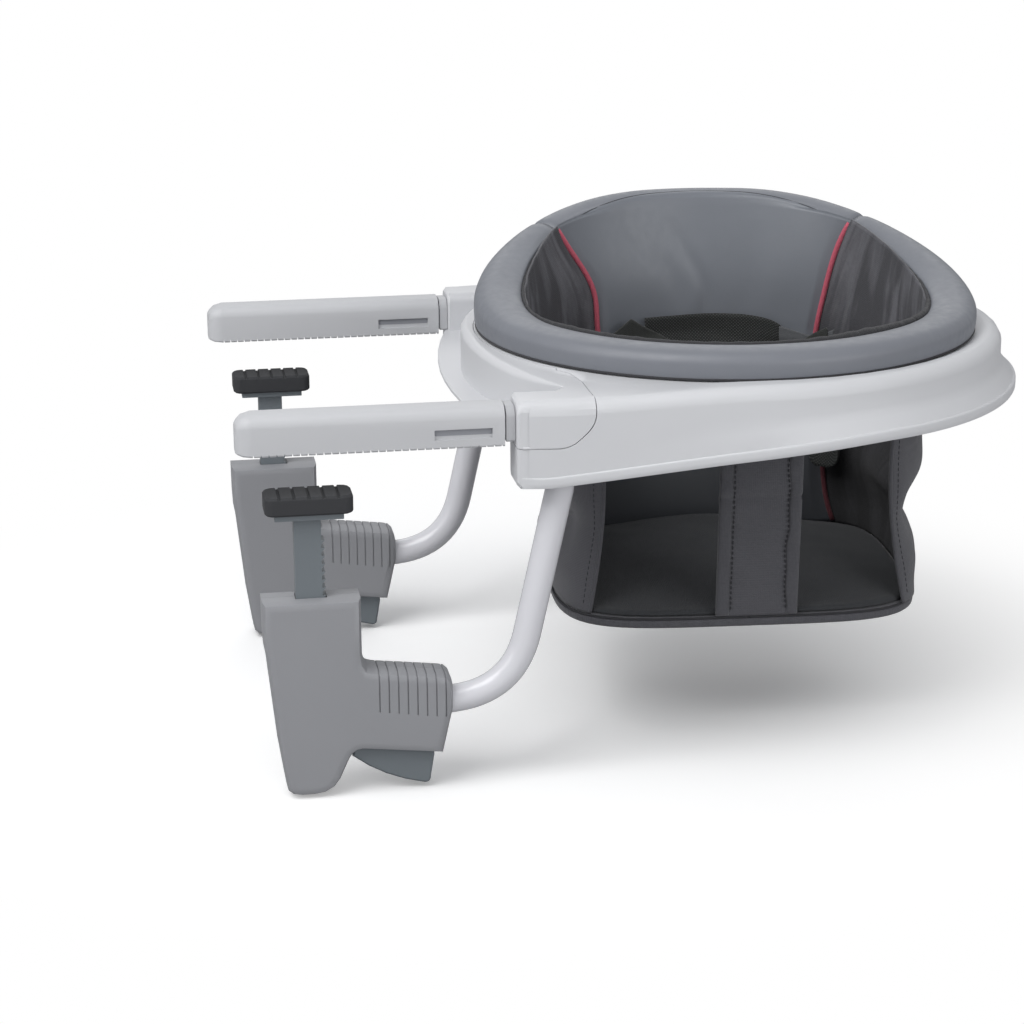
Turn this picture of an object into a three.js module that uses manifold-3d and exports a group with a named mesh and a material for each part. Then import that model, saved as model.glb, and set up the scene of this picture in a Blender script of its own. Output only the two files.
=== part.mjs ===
// Hook-on table chair: a ring base clamped to a table edge carries a swivelling fabric seat.
// Millimetres. X = 0 is the table edge, +X points away from the table, Z = 0 is the table top, Y = 0 lies
// midway between the two arms. The seat is turned sideways, so the child would face -Y.
import * as THREE from "three";
import { mergeVertices } from "three/addons/utils/BufferGeometryUtils.js";
import Module from "manifold-3d";

// Fits and overruns
const FIT_GAP = 0.3;
const SEAM_GAP = 0.6;
const RUNNING_GAP = 0.5;
const OVERRUN = 20;

// Table that the chair is clamped to
const TABLE_THICKNESS = 30.6;

// Ring base
const BASE_R = 229;
const DECK_WIDTH = 31;
const LEDGE_WIDTH = 25;
const LEDGE_R = BASE_R - DECK_WIDTH;
const RACE_R = LEDGE_R - LEDGE_WIDTH;
const RING_X = LEDGE_R;
const RACE_WALL = 4;
const RACE_BOTTOM = -6;
const LEDGE_Z = 38;
const CREST_RISE = 3;
const CREST_WIDTH = 6;
const BASE_WALL = 3;
const SHOULDER_R = 11;
const FRONT_SHOULDER_R = 6;
const BACK_FLARE = 11;
const NOTCH_Z = 19;
const LIP_HEIGHT = 8;
const LIP_ROLL = 2.5;
const BACK_BOTTOM = -5;
const SKIRT_BOTTOM = -31;
const FRONT_ARC_R = 300;
const FRONT_ARC_REACH = 10;
const FRONT_TOP = 38;

// Arm housings and table flange of the front cover
const ARM_SET_IN = 45;
const ARM_Y = BASE_R - ARM_SET_IN;
const HOUSING_INNER_HALF = 16;
const HOUSING_OUTER_HALF = 22;
const HOUSING_IN = ARM_Y - HOUSING_INNER_HALF;
const HOUSING_OUT = ARM_Y + HOUSING_OUTER_HALF;
const HOUSING_TOP = 34;
const HOUSING_BEVEL = 2.5;
const HOUSING_EDGE_R = 8;
const HOUSING_LENGTH = 60;
const INNER_WALL_BOTTOM = -5;
const COVER_BACK = 56;
const COVER_CORNER_R = 14;
const COVER_SEAM_STEP = 17;
const COVER_SEAM_RUN = 18;
const COVER_SEAM_ROUND = 9;
const COVER_SEAM_OUT = 1;
const COVER_SEAM_R = LEDGE_R + COVER_SEAM_OUT;
const FLANGE_THICKNESS = 3;
const FLANGE_REACH = 25.5;
const FLANGE_ARC_R = 650;
const FLANGE_EDGE = 1;

// Lower cover of the ring base
const LOWER_COVER_THICKNESS = 2.5;
const LOWER_COVER_FIT = 1.8;
const LOWER_COVER_RIB = 6;
const LOWER_COVER_RIB_WIDTH = 2.5;

// Table arms
const ARM_TIP = -201;
const ARM_END = -8;
const ARM_WIDTH = 30;
const ARM_TOP = 30;
const ARM_EDGE_R = 9;
const ARM_TIP_R = 12;
const ARM_TIP_FOOT_SHARE = 0.3;
const TOOTH_PITCH = 5.58;
const TOOTH_GAP = 2.3;
const TOOTH_DEPTH = 2.4;
const TOOTH_MARGIN = 11.6;
const SLOT_LENGTH = 42;
const SLOT_HEIGHT = 7.4;
const SLOT_DEPTH = 2;
const SLOT_SET_BACK = 30;
const SLOT_Z = 10.5;
const CORE_WIDTH = 22;
const CORE_HEIGHT = 17;
const CORE_WALL = 2;
const CORE_Z = 15;
const CORE_BACK = 66;
const CORE_NOSE = 6;
const COLLAR_STEP = 1.2;
const COLLAR_GAP = 1;

// Folding J tubes and their brackets
const FOLD_Z = -20;
const FOLD_X = 34.5;
const TUBE_R = 10.5;
const TUBE_TOP_Z = -10;
const TUBE_KNEE_Z = -36;
const TUBE_ELBOW_X = -0.5;
const TUBE_ELBOW_Z = -191.5;
const TUBE_ELBOW_R = 62;
const TUBE_BEND_R = 24;
const TUBE_END_X = -92;
const TUBE_END_Z = -199;
const FOLD_PIN_R = 4;
const FOLD_PIN_HEAD_R = 6.5;
const FOLD_PIN_HEAD = 1.5;
const BRACKET_PLATE = 2.5;
const BRACKET_HALF = 10;
const BRACKET_BELOW = 9;

// Clamp handle and post
const POST_LEFT = -186;
const POST_RIGHT = -114.5;
const POST_TOP = -109;
const POST_WAIST_X = -184;
const POST_WAIST_Z = -151;
const POST_HIP_X = -177;
const POST_HIP_Z = -220;
const POST_HEEL_X = -172.5;
const POST_HEEL_Z = -250;
const POST_BOTTOM = -260;
const POST_SOLE_LEFT = -161;
const POST_SOLE_RIGHT = -152;
const POST_BALL_X = -138.5;
const POST_TOE_X = -132.6;
const POST_TOE_Z = -248.7;
const GRIP_ARCH_X = -122.5;
const GRIP_ARCH_SHARE = 0.68;
const GRIP_ROOT_X = -115.5;
const GRIP_ROOT_Z = -226.5;
const GRIP_BOTTOM = -233;
const GRIP_HEEL_X = -56;
const GRIP_END_X = -48;
const GRIP_END_Z = -198;
const GRIP_TOP = -171;
const GRIP_FILLET_X = -106;
const GRIP_FILLET_Z = -165.5;
const GRIP_EDGE_R = 10;
const CLAMP_WIDTH = 36;
const CLAMP_BEVEL = 7;
const RIB_PITCH = 7;
const RIB_FIRST_X = -102.8;
const RIB_COUNT = 8;
const RIB_WIDTH = 1;
const RIB_DEPTH = 1;
const RIB_FOOT_Z = -196.3;
const RIB_FOOT_STEP = 1;

// Toothed clamp rod and its foot
const ROD_X = -150;
const ROD_WIDTH = 22;
const ROD_THICK = 13;
const ROD_LENGTH = 122;
const ROD_TOOTH_PITCH = 6;
const ROD_TOOTH_DEPTH = 2.5;
const ROD_TOOTH_COUNT = 17;
const ROD_TOOTH_FOOT = 6;
const ROD_HEAD = 4;
const ROD_HEAD_LENGTH = 50;
const ROD_HEAD_WIDTH = 24;
const FOOT_LENGTH = 64;
const FOOT_WIDTH = 32;
const FOOT_HEIGHT = 14;
const FOOT_EDGE_R = 6;
const FOOT_BEVEL = 1.5;
const FOOT_GROOVE = 2;
const FOOT_GROOVE_DEPTH = 1.5;
const FOOT_GROOVE_COUNT = 5;

// Squeeze lever
const LEVER_PIVOT_X = -119;
const LEVER_PIVOT_Z = -221;
const LEVER_WIDTH = 18;
const LEVER_BEVEL = 1.5;
const LEVER_TOP_Z = -230.5;
const LEVER_ROOT_Z = -225.5;
const LEVER_TIP_X = -123;
const LEVER_TIP_Z = -233;
const LEVER_END_X = -62;
const LEVER_END_Z = -236;
const LEVER_HEEL_X = -69;
const LEVER_HEEL_Z = -257.7;
const LEVER_CORNER_X = -64.8;
const LEVER_CORNER_Z = -252.5;
const LEVER_BELLY_X = -100;
const LEVER_BELLY_Z = -252;
const LEVER_LUG_R = 6;
const LEVER_PIN_R = 2.5;
const LEVER_PIN_LENGTH = 27;
const LEVER_ROOM_END = 3;
const LEVER_ROOM_Z = -213;

// Swivel ring and its retainer
const SEAT_TURN_DEG = -4;
const SWIVEL_SKIRT = 3.2;
const SWIVEL_FLANGE = 3;
const SWIVEL_LIP = 11.4;
const SWIVEL_EDGE = 6;
const SWIVEL_IN_R = RACE_R - SWIVEL_LIP;
const SWIVEL_OUT_R = LEDGE_R - SWIVEL_EDGE;
const SWIVEL_RIB_SET = 0.5;
const SWIVEL_RIB_R = RACE_R + SWIVEL_RIB_SET;
const SWIVEL_RIB = 5;
const SWIVEL_RIB_HEIGHT = 8;
const RETAINER_INWARD = 9;
const RETAINER_OUTWARD = 6;
const RETAINER_THICKNESS = 2.6;

// Padded rim
const RIM_OVERHANG = 12;
const RIM_BACK_SET = 4;
const RIM_SIDE_SET = 5;
const RIM_OUT_R = LEDGE_R;
const RIM_IN_R = RACE_R - RIM_OVERHANG;
const RIM_BACK_IN_R = RIM_IN_R + RIM_BACK_SET;
const RIM_FRONT_TOP = 61.5;
const RIM_BACK_TOP = 115;
const RIM_SLOT_WIDTH = 10;
const RIM_SLOT_ROOF = 9;
const RIM_EDGE_DROP = 5;
const RIM_EDGE_IN = 3;
const HOOP_R = 4;

// Fabric seat
const CLOTH = 2.4;
const CLOTH_GAP = 1;
const HANG_Z = 0;
const PAN_SIDE_IN = 18;
const PAN_END_IN = 34;
const PAN_HALF_WIDTH = RIM_IN_R - PAN_SIDE_IN;
const PAN_HALF_DEPTH = RIM_IN_R - PAN_END_IN;
const PAN_FORWARD = 12.5;
const PAN_CORNER_POWER = 4.4;
const PAN_TOP = -160;
const BOARD_THICKNESS = 9;
const BOARD_EDGE_R = 3;
const WAIST_PINCH = 9;
const SIDE_FOLD = 2;
const SIDE_SWELL = 6.5;
const SIDE_WAIST = 8;
const SIDE_HEM_SWELL = 6;
const FRONT_BAND_BOTTOM = -20;
const CROTCH_HALF = 29.5;
const BACKREST_PAD = 8;
const BACKREST_CROWN = 4;
const CUSHION_HEIGHT = 11;
const CUSHION_CROWN = 5;
const CUSHION_SIDE_IN = 3;
const PIPING_R = 1.8;
const PIPING_GAP = 1.1;
const BELT_WIDTH = 38;
const BELT_THICKNESS = 2;
const BELT_TOP = 13;
const BELT_STAND_OFF = 0.8;
const FLAP_HEIGHT = 16;
const FLAP_THICKNESS = 1.6;
const FLAP_TOP = 12;
const FLAP_GAP = 1.4;

// Angles in degrees, measured from the back of the ring for the base and from the front for the seat
const FLARE_FROM_DEG = 125;
const FLARE_TO_DEG = 60;
const SKIRT_FROM_DEG = 70;
const SKIRT_TO_DEG = 130;
const DECK_FROM_DEG = 132;
const DECK_TO_DEG = 95;
const BACK_ARC_DEG = 128;
const CORNER_STEP_DEG = 0.4;
const FRONT_TAPER_DEG = 14;
const FRONT_TAPER_SHARE = 0.12;
const LOWER_COVER_DEG = 108;
const RIM_RISE_FROM_DEG = 60;
const RIM_RISE_TO_DEG = 168;
const RIM_SIDE_FROM_DEG = 75;
const RIM_SIDE_TO_DEG = 150;
const RIM_SEAM_DEG = 132;
const HOOP_FROM_DEG = 112;
const PIPING_MID_DEG = 143;
const PIPING_PAN_DEG = 132;
const SIDE_FRONT_DEG = 46;
const SIDE_FOOT_DEG = 49;
const BELT_FROM_DEG = 151;
const BELT_TO_DEG = 198;
const FLAP_DEG = 14;

// Counts
const ROUND_SIDES = 12;
const SMALL_SIDES = 8;
const RING_STEPS = 72;
const SEAT_STEPS = 48;

const wasm = await Module();
wasm.setup();

const rad = (degrees) => (degrees * Math.PI) / 180;
const mix = (from, to, share) => from + (to - from) * share;
const clamp = (value) => Math.min(1, Math.max(0, value));
const smooth = (value) => {
  const share = clamp(value);
  return share * share * (3 - 2 * share);
};

// Solids
function solidOf(geometry) {
  const bare = new THREE.BufferGeometry();
  bare.setAttribute("position", geometry.getAttribute("position"));
  if (geometry.index) bare.setIndex(geometry.index);
  const merged = mergeVertices(bare);
  return new wasm.Manifold(
    new wasm.Mesh({
      numProp: 3,
      vertProperties: new Float32Array(merged.attributes.position.array),
      triVerts: new Uint32Array(merged.index.array),
    }),
  );
}

function geometryOf(solid) {
  const mesh = solid.getMesh();
  const position = new Float32Array(mesh.numVert * 3);
  for (let i = 0; i < mesh.numVert; i++) {
    position.set(mesh.vertProperties.subarray(i * mesh.numProp, i * mesh.numProp + 3), i * 3);
  }
  const geometry = new THREE.BufferGeometry();
  geometry.setAttribute("position", new THREE.BufferAttribute(position, 3));
  geometry.setIndex(new THREE.BufferAttribute(new Uint32Array(mesh.triVerts), 1));
  return geometry;
}

const cut = (from, ...tools) => tools.reduce((left, tool) => left.subtract(tool), from);
const join = (first, ...others) => others.reduce((sum, other) => sum.add(other), first);

// A skin through loops of (u, v) points, one count in all, each put in space by place(loop index, u, v).
// A sheet's loops run down one face and back up the other, and its end caps join the two faces rung by rung.
function loft(loops, place, closed, sheet = false) {
  const count = loops[0].length;
  const position = [];
  loops.forEach((loop, i) => loop.forEach(([u, v]) => position.push(...place(i, u, v))));
  const index = [];
  const spans = closed ? loops.length : loops.length - 1;
  for (let i = 0; i < spans; i++) {
    const near = i * count;
    const far = ((i + 1) % loops.length) * count;
    for (let j = 0; j < count; j++) {
      const k = (j + 1) % count;
      index.push(near + j, far + j, far + k, near + j, far + k, near + k);
    }
  }
  if (sheet) {
    const last = (loops.length - 1) * count;
    for (let j = 0; j < count / 2 - 1; j++) {
      const [a, b, c, d] = [j, j + 1, count - 2 - j, count - 1 - j];
      index.push(a, b, c, a, c, d, last + a, last + c, last + b, last + a, last + d, last + c);
    }
  } else if (!closed) {
    const cap = (loop, start, sameTurn) => {
      const points = loop.map(([u, v]) => new THREE.Vector2(u, v));
      const turn = THREE.ShapeUtils.area(points) > 0;
      THREE.ShapeUtils.triangulateShape(points, []).forEach(([a, b, c]) => {
        const same = THREE.ShapeUtils.area([points[a], points[b], points[c]]) > 0 === turn;
        if (same === sameTurn) index.push(start + a, start + b, start + c);
        else index.push(start + a, start + c, start + b);
      });
    };
    cap(loops[0], 0, true);
    cap(loops[loops.length - 1], (loops.length - 1) * count, false);
  }
  const geometry = new THREE.BufferGeometry();
  geometry.setAttribute("position", new THREE.Float32BufferAttribute(position, 3));
  geometry.setIndex(volumeOf(position, index) < 0 ? turned(index) : index);
  return geometry;
}

function volumeOf(position, index) {
  const at = (i) => new THREE.Vector3(position[3 * i], position[3 * i + 1], position[3 * i + 2]);
  let sum = 0;
  for (let i = 0; i < index.length; i += 3) {
    sum += at(index[i]).dot(at(index[i + 1]).cross(at(index[i + 2])));
  }
  return sum;
}

function turned(index) {
  const flipped = [];
  for (let i = 0; i < index.length; i += 3) flipped.push(index[i], index[i + 2], index[i + 1]);
  return flipped;
}

const boxBetween = (x0, x1, y0, y1, z0, z1) =>
  solidOf(
    new THREE.BoxGeometry(Math.abs(x1 - x0), Math.abs(y1 - y0), Math.abs(z1 - z0)).translate(
      (x0 + x1) / 2,
      (y0 + y1) / 2,
      (z0 + z1) / 2,
    ),
  );

// A round bar along the named axis, from one place on it to another
function barAlong(axis, radius, from, to, a, b, sides = ROUND_SIDES) {
  const bar = new THREE.CylinderGeometry(radius, radius, to - from, sides);
  if (axis === "x") bar.rotateZ(Math.PI / 2).translate((from + to) / 2, a, b);
  if (axis === "y") bar.translate(a, (from + to) / 2, b);
  if (axis === "z") bar.rotateX(Math.PI / 2).translate(a, b, (from + to) / 2);
  return solidOf(bar);
}

// An outline of (u, v) points drawn in by a step, each point along the bisector of its corner
function drawnIn(points, step) {
  const turn = THREE.ShapeUtils.area(points) > 0 ? 1 : -1;
  return points.map((point, i) => {
    const before = point.clone().sub(points[(i + points.length - 1) % points.length]).normalize();
    const after = points[(i + 1) % points.length].clone().sub(point).normalize();
    const inward = new THREE.Vector2(-before.y - after.y, before.x + after.x);
    inward.multiplyScalar((turn * step) / (1 + before.dot(after)));
    return [point.x + inward.x, point.y + inward.y];
  });
}

// An outline in X and Z, as thick as depth about a given Y, edges rounded, drawn in all round by an inset
function slab(shape, depth, y, bevel = 0, curves = 6, bevelSteps = 2, inset = 0) {
  const points = shape.getPoints(curves);
  if (points[0].distanceTo(points[points.length - 1]) < FIT_GAP / 100) points.pop();
  const near = [];
  for (let i = 0; i <= (bevel ? bevelSteps : 0); i++) {
    const turn = (Math.PI / 2) * (bevel ? i / bevelSteps : 1);
    near.push([depth / 2 - bevel * (1 - Math.cos(turn)), bevel * (1 - Math.sin(turn))]);
  }
  const far = near.map(([out, step]) => [out - inset, step]).reverse();
  const levels = [...near.map(([out, step]) => [inset - out, step]), ...far];
  return solidOf(
    loft(
      levels.map(([, step]) => drawnIn(points, step + inset)),
      (i, x, z) => [x, y + levels[i][0], z],
      false,
    ),
  );
}

// A rectangle with round corners in (u, v), the lower ones by lowR and the upper ones by highR
function roundedLoop(u0, u1, v0, v1, lowR, highR, lowSteps = 1, highSteps = 3) {
  const loop = [];
  const corner = (u, v, r, start) => {
    const steps = start < 180 ? highSteps : lowSteps;
    for (let i = 0; i <= steps; i++) {
      const turn = rad(start + (90 * i) / steps);
      loop.push([u + r * Math.cos(turn), v + r * Math.sin(turn)]);
    }
  };
  corner(u1 - highR, v1 - highR, highR, 0);
  corner(u0 + highR, v1 - highR, highR, 90);
  corner(u0 + lowR, v0 + lowR, lowR, 180);
  corner(u1 - lowR, v0 + lowR, lowR, 270);
  return loop;
}

// Profile of radius and height turned about the ring axis
function revolved(profile, steps = SEAT_STEPS) {
  const loops = [];
  for (let i = 0; i < steps; i++) loops.push(profile);
  return loft(
    loops,
    (i, r, z) => {
      const turn = (Math.PI * 2 * i) / steps;
      return [r * Math.cos(turn), r * Math.sin(turn), z];
    },
    true,
  );
}

const root = new THREE.Group();

function material(colour, roughness, metalness = 0) {
  return new THREE.MeshStandardMaterial({ color: colour, roughness, metalness });
}

function node(parent, name, geometryOrSolid, look) {
  const geometry = geometryOrSolid.isBufferGeometry ? geometryOrSolid : geometryOf(geometryOrSolid);
  geometry.computeVertexNormals();
  const mesh = new THREE.Mesh(geometry, look());
  mesh.name = name;
  parent.add(mesh);
  return mesh;
}

const LIGHT_PLASTIC = () => material(0xc9cbcd, 0.42);
const LOWER_PLASTIC = () => material(0xb4b6b9, 0.55);
const BOOT_RUBBER = () => material(0xbfc2c7, 0.6);
const STEEL_PAINT = () => material(0xd0d1d6, 0.25, 0.3);
const BRIGHT_STEEL = () => material(0x9a9da1, 0.35, 0.9);
const GRIP_PLASTIC = () => material(0x929497, 0.6);
const LEVER_PLASTIC = () => material(0x5f676c, 0.55);
const DARK_RUBBER = () => material(0x3a3c3f, 0.85);
const RIM_VINYL = () => material(0x8c8e93, 0.5);
const BACK_VINYL = () => material(0x73787d, 0.55);
const DARK_NYLON = () => material(0x44464a, 0.9);
const PIPING_RED = () => material(0xbc3e52, 0.6);
const WEBBING = () => material(0x1e1f21, 0.85);

// Plan of the base: a circle, straight tangents to the housings, and a flat arc across the front
function sideRadius(theta, inset) {
  const away = Math.abs(theta);
  const circle = BASE_R - inset;
  const cornerX = HOUSING_BEVEL + inset - RING_X;
  const cornerY = HOUSING_OUT - inset;
  const tangent = Math.atan2(cornerY, cornerX) - Math.acos(circle / Math.hypot(cornerX, cornerY));
  if (away <= tangent) return circle;
  if (away <= jointAngle(inset)) return circle / Math.cos(away - tangent);
  const arc = FRONT_ARC_R - inset;
  const ahead = FRONT_ARC_R - FRONT_ARC_REACH - RING_X;
  const along = ahead * Math.cos(away);
  return along + Math.sqrt(along * along - ahead * ahead + arc * arc);
}

// Angle from the back at which the front wall meets the inner face of a housing
function jointAngle(inset) {
  const arc = FRONT_ARC_R - inset;
  const y = HOUSING_IN + inset;
  const x = FRONT_ARC_R - FRONT_ARC_REACH - Math.sqrt(arc * arc - y * y);
  return Math.atan2(y, x - RING_X);
}

// Cross-section of the base at an angle from the back, as radius and height
function baseSection(theta, inset) {
  const away = Math.abs(THREE.MathUtils.radToDeg(theta));
  const joint = THREE.MathUtils.radToDeg(jointAngle(inset));
  const front = away > joint;
  const side = sideRadius(theta, inset);
  const flare = BACK_FLARE * smooth((FLARE_FROM_DEG - away) / (FLARE_FROM_DEG - FLARE_TO_DEG));
  const skirt = clamp((away - SKIRT_FROM_DEG) / (SKIRT_TO_DEG - SKIRT_FROM_DEG));
  const deck = smooth((DECK_FROM_DEG - away) / (DECK_FROM_DEG - DECK_TO_DEG));
  const frontDeck = smooth((away - DECK_FROM_DEG) / (180 - DECK_FROM_DEG));
  const sideTop = mix(HOUSING_TOP, LEDGE_Z + CREST_RISE, deck);
  const top = (front ? mix(HOUSING_TOP, FRONT_TOP, frontDeck) : sideTop) - inset;
  const low = front ? 0 : mix(BACK_BOTTOM, SKIRT_BOTTOM, skirt ** 1.5);
  const bottom = inset ? SKIRT_BOTTOM - OVERRUN : low;
  const lip = front ? low + LIP_ROLL : low + LIP_HEIGHT;
  const notch = mix(lip + LIP_HEIGHT, NOTCH_Z, front ? 0 : deck);
  const wall = side - flare;
  const inner = inset ? RACE_R + RACE_WALL : RACE_R - RACE_WALL;
  const ledge = LEDGE_Z - inset;
  const taperShare = mix(FRONT_TAPER_SHARE, 1, smooth((away - joint) / FRONT_TAPER_DEG));
  const round = front ? FRONT_SHOULDER_R * taperShare : SHOULDER_R;
  const shoulder = [1, 2, 3].map((step) => [
    wall - round + round * Math.cos((Math.PI * step) / 8),
    top - round + round * Math.sin((Math.PI * step) / 8),
  ]);
  return [
    [inner, inset ? bottom : RACE_BOTTOM],
    [RACE_R + 2 * RACE_WALL, inset ? bottom : RACE_BOTTOM],
    [side - LIP_ROLL, bottom],
    [side, inset ? bottom + OVERRUN / 2 : bottom + LIP_ROLL],
    [side, lip],
    [mix(wall, side, 0.3), mix(lip, notch, 0.55)],
    [wall, notch],
    [wall, top - round],
    ...shoulder,
    [wall - round, top],
    [Math.min(LEDGE_R + CREST_WIDTH, wall - round - CREST_WIDTH / 2), top],
    [Math.min(LEDGE_R, wall - round - CREST_WIDTH), ledge],
    [inner, ledge],
  ];
}

function baseSkin(inset) {
  const corner = THREE.MathUtils.radToDeg(jointAngle(inset));
  const steps = inset ? 12 : 17;
  const half = [];
  for (let i = 0; i < steps; i++) half.push((BACK_ARC_DEG * i) / (steps - 1));
  half.push(corner - CORNER_STEP_DEG, corner + CORNER_STEP_DEG);
  for (let i = 1; i <= 6; i++) half.push(mix(corner + CORNER_STEP_DEG, 180, i / 6));
  const angles = [...half.map((degrees) => -degrees).reverse(), ...half.slice(1, -1)];
  return solidOf(
    loft(
      angles.map((degrees) => baseSection(rad(degrees), inset)),
      (i, r, z) => [RING_X + r * Math.cos(rad(angles[i])), r * Math.sin(rad(angles[i])), z],
      true,
    ),
  );
}

// One arm housing, on the side given by hand (-1 near, 1 far)
function housing(hand, inset) {
  const y0 = HOUSING_IN + inset;
  const y1 = HOUSING_OUT - inset;
  const low = inset ? SKIRT_BOTTOM - OVERRUN : SKIRT_BOTTOM;
  const rings = [
    [inset, inset ? 0 : HOUSING_BEVEL],
    [HOUSING_BEVEL + inset, 0],
    [HOUSING_LENGTH, 0],
  ];
  return solidOf(
    loft(
      rings.map(([, step]) =>
        roundedLoop(
          y0 + step,
          y1 - step,
          low + step,
          HOUSING_TOP - inset - step,
          HOUSING_BEVEL,
          HOUSING_EDGE_R - inset / 2,
        ),
      ),
      (i, y, z) => [rings[i][0], hand * y, z],
      false,
    ),
  );
}

// Flange that lies on the table in front of the ring
function tableFlange() {
  const steps = 10;
  const outer = [];
  for (let i = 0; i <= steps; i++) {
    const y = mix(-HOUSING_IN - HOUSING_BEVEL, HOUSING_IN + HOUSING_BEVEL, i / steps);
    outer.push([-FLANGE_REACH + FLANGE_ARC_R - Math.sqrt(FLANGE_ARC_R ** 2 - y * y), y]);
  }
  const inner = outer.map(([, y]) => {
    const arc = FRONT_ARC_R - BASE_WALL / 2;
    const x = FRONT_ARC_R - FRONT_ARC_REACH - Math.sqrt(arc * arc - y * y);
    return [Math.max(x, BASE_WALL / 2), y];
  });
  inner.reverse();
  const loopAt = (edge) => [...outer.map(([x, y]) => [x + edge, y]), ...inner];
  const outline = loopAt(0);
  const bevelled = loopAt(FLANGE_EDGE);
  const levels = [0, FLANGE_THICKNESS - FLANGE_EDGE, FLANGE_THICKNESS];
  return solidOf(
    loft([outline, outline, bevelled], (i, x, y) => [x, y, levels[i]], false),
  );
}

// Region of the front cover: ahead of an arc beside the rim, with the side seam stepping up to its back end
function coverRegion(grow) {
  const back = COVER_BACK + grow;
  const reach = HOUSING_OUT + OVERRUN;
  const seam = new THREE.Shape();
  const radius = COVER_CORNER_R;
  seam.moveTo(-FLANGE_REACH - OVERRUN, -reach);
  seam.lineTo(back, -reach);
  seam.lineTo(back, -HOUSING_IN + radius);
  seam.quadraticCurveTo(back, -HOUSING_IN + 2 * radius, back - radius, -HOUSING_IN + 3 * radius);
  seam.lineTo(back - radius, HOUSING_IN - 3 * radius);
  seam.quadraticCurveTo(back, HOUSING_IN - 2 * radius, back, HOUSING_IN - radius);
  seam.lineTo(back, reach);
  seam.lineTo(-FLANGE_REACH - OVERRUN, reach);
  const plan = new THREE.ExtrudeGeometry(seam, {
    depth: LEDGE_Z + OVERRUN + SEAM_GAP,
    bevelEnabled: false,
    curveSegments: 3,
  });
  plan.translate(0, 0, -SEAM_GAP);
  const ringCut = barAlong(
    "z",
    COVER_SEAM_R - grow,
    SKIRT_BOTTOM - OVERRUN,
    LEDGE_Z + 2 * OVERRUN,
    RING_X,
    0,
    RING_STEPS,
  );
  const side = new THREE.Shape();
  const foot = -SEAM_GAP - grow;
  const low = new THREE.Vector2(COVER_BACK - COVER_SEAM_RUN, foot);
  const high = new THREE.Vector2(back, COVER_SEAM_STEP - grow);
  const slope = high.clone().sub(low).setLength(COVER_SEAM_ROUND);
  side.moveTo(-FLANGE_REACH - 2 * OVERRUN, foot);
  side.lineTo(low.x - COVER_SEAM_ROUND, foot);
  side.quadraticCurveTo(low.x, low.y, low.x + slope.x, low.y + slope.y);
  side.lineTo(high.x - slope.x, high.y - slope.y);
  side.quadraticCurveTo(high.x, high.y, high.x, high.y + COVER_SEAM_ROUND);
  side.lineTo(back, LEDGE_Z + 2 * OVERRUN);
  side.lineTo(-FLANGE_REACH - 2 * OVERRUN, LEDGE_Z + 2 * OVERRUN);
  const region = solidOf(plan.translate(0, 0, -grow)).subtract(ringCut);
  return region.intersect(slab(side, 2 * reach + OVERRUN, 0, 0, 4));
}

// Base shells
const baseOuter = join(baseSkin(0), housing(-1, 0), housing(1, 0), tableFlange());
const underCut = boxBetween(
  HOUSING_BEVEL + BASE_WALL,
  COVER_BACK + OVERRUN,
  -HOUSING_OUT + 2 * BASE_WALL,
  HOUSING_OUT - 2 * BASE_WALL,
  SKIRT_BOTTOM - OVERRUN,
  INNER_WALL_BOTTOM,
);
const corePassage = (hand) =>
  boxBetween(
    ARM_END,
    COVER_BACK,
    hand * (ARM_Y - CORE_WIDTH / 2 - FIT_GAP),
    hand * (ARM_Y + CORE_WIDTH / 2 + FIT_GAP),
    CORE_Z - CORE_HEIGHT / 2 - FIT_GAP,
    CORE_Z + CORE_HEIGHT / 2 + FIT_GAP,
  );
const raceBore = barAlong(
  "z",
  RACE_R,
  SKIRT_BOTTOM - OVERRUN,
  LEDGE_Z + OVERRUN,
  RING_X,
  0,
  RING_STEPS,
);
const baseWhole = cut(
  baseOuter,
  raceBore,
  baseSkin(BASE_WALL),
  housing(-1, BASE_WALL),
  housing(1, BASE_WALL),
  underCut,
  corePassage(-1),
  corePassage(1),
);
const largest = (solid) =>
  solid.decompose().reduce((best, body) => (body.volume() > best.volume() ? body : best));
node(root, "front_cover", largest(baseWhole.intersect(coverRegion(0))), LIGHT_PLASTIC);
node(root, "base_shell", largest(baseWhole.subtract(coverRegion(SEAM_GAP))), LIGHT_PLASTIC);

// Lower cover: a plate that closes the back of the ring channel from below, with a stiffening rib
function lowerCover() {
  const steps = 28;
  const inner = RACE_R + RACE_WALL + LOWER_COVER_FIT;
  const loops = [];
  const angles = [];
  for (let i = 0; i <= steps; i++) {
    const degrees = mix(-LOWER_COVER_DEG, LOWER_COVER_DEG, i / steps);
    const section = baseSection(rad(degrees), BASE_WALL);
    const outer = section[4][0] - LOWER_COVER_FIT;
    const top = BACK_BOTTOM + LOWER_COVER_THICKNESS;
    const ribAt = mix(inner, outer, 0.5);
    angles.push(degrees);
    loops.push([
      [inner, BACK_BOTTOM],
      [outer, BACK_BOTTOM],
      [outer, top],
      [ribAt + LOWER_COVER_RIB_WIDTH / 2, top],
      [ribAt + LOWER_COVER_RIB_WIDTH / 2, top + LOWER_COVER_RIB],
      [ribAt - LOWER_COVER_RIB_WIDTH / 2, top + LOWER_COVER_RIB],
      [ribAt - LOWER_COVER_RIB_WIDTH / 2, top],
      [inner, top],
    ]);
  }
  return loft(
    loops,
    (i, r, z) => [RING_X + r * Math.cos(rad(angles[i])), r * Math.sin(rad(angles[i])), z],
    false,
  );
}
node(root, "base_lower_cover", lowerCover(), LOWER_PLASTIC);

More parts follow.
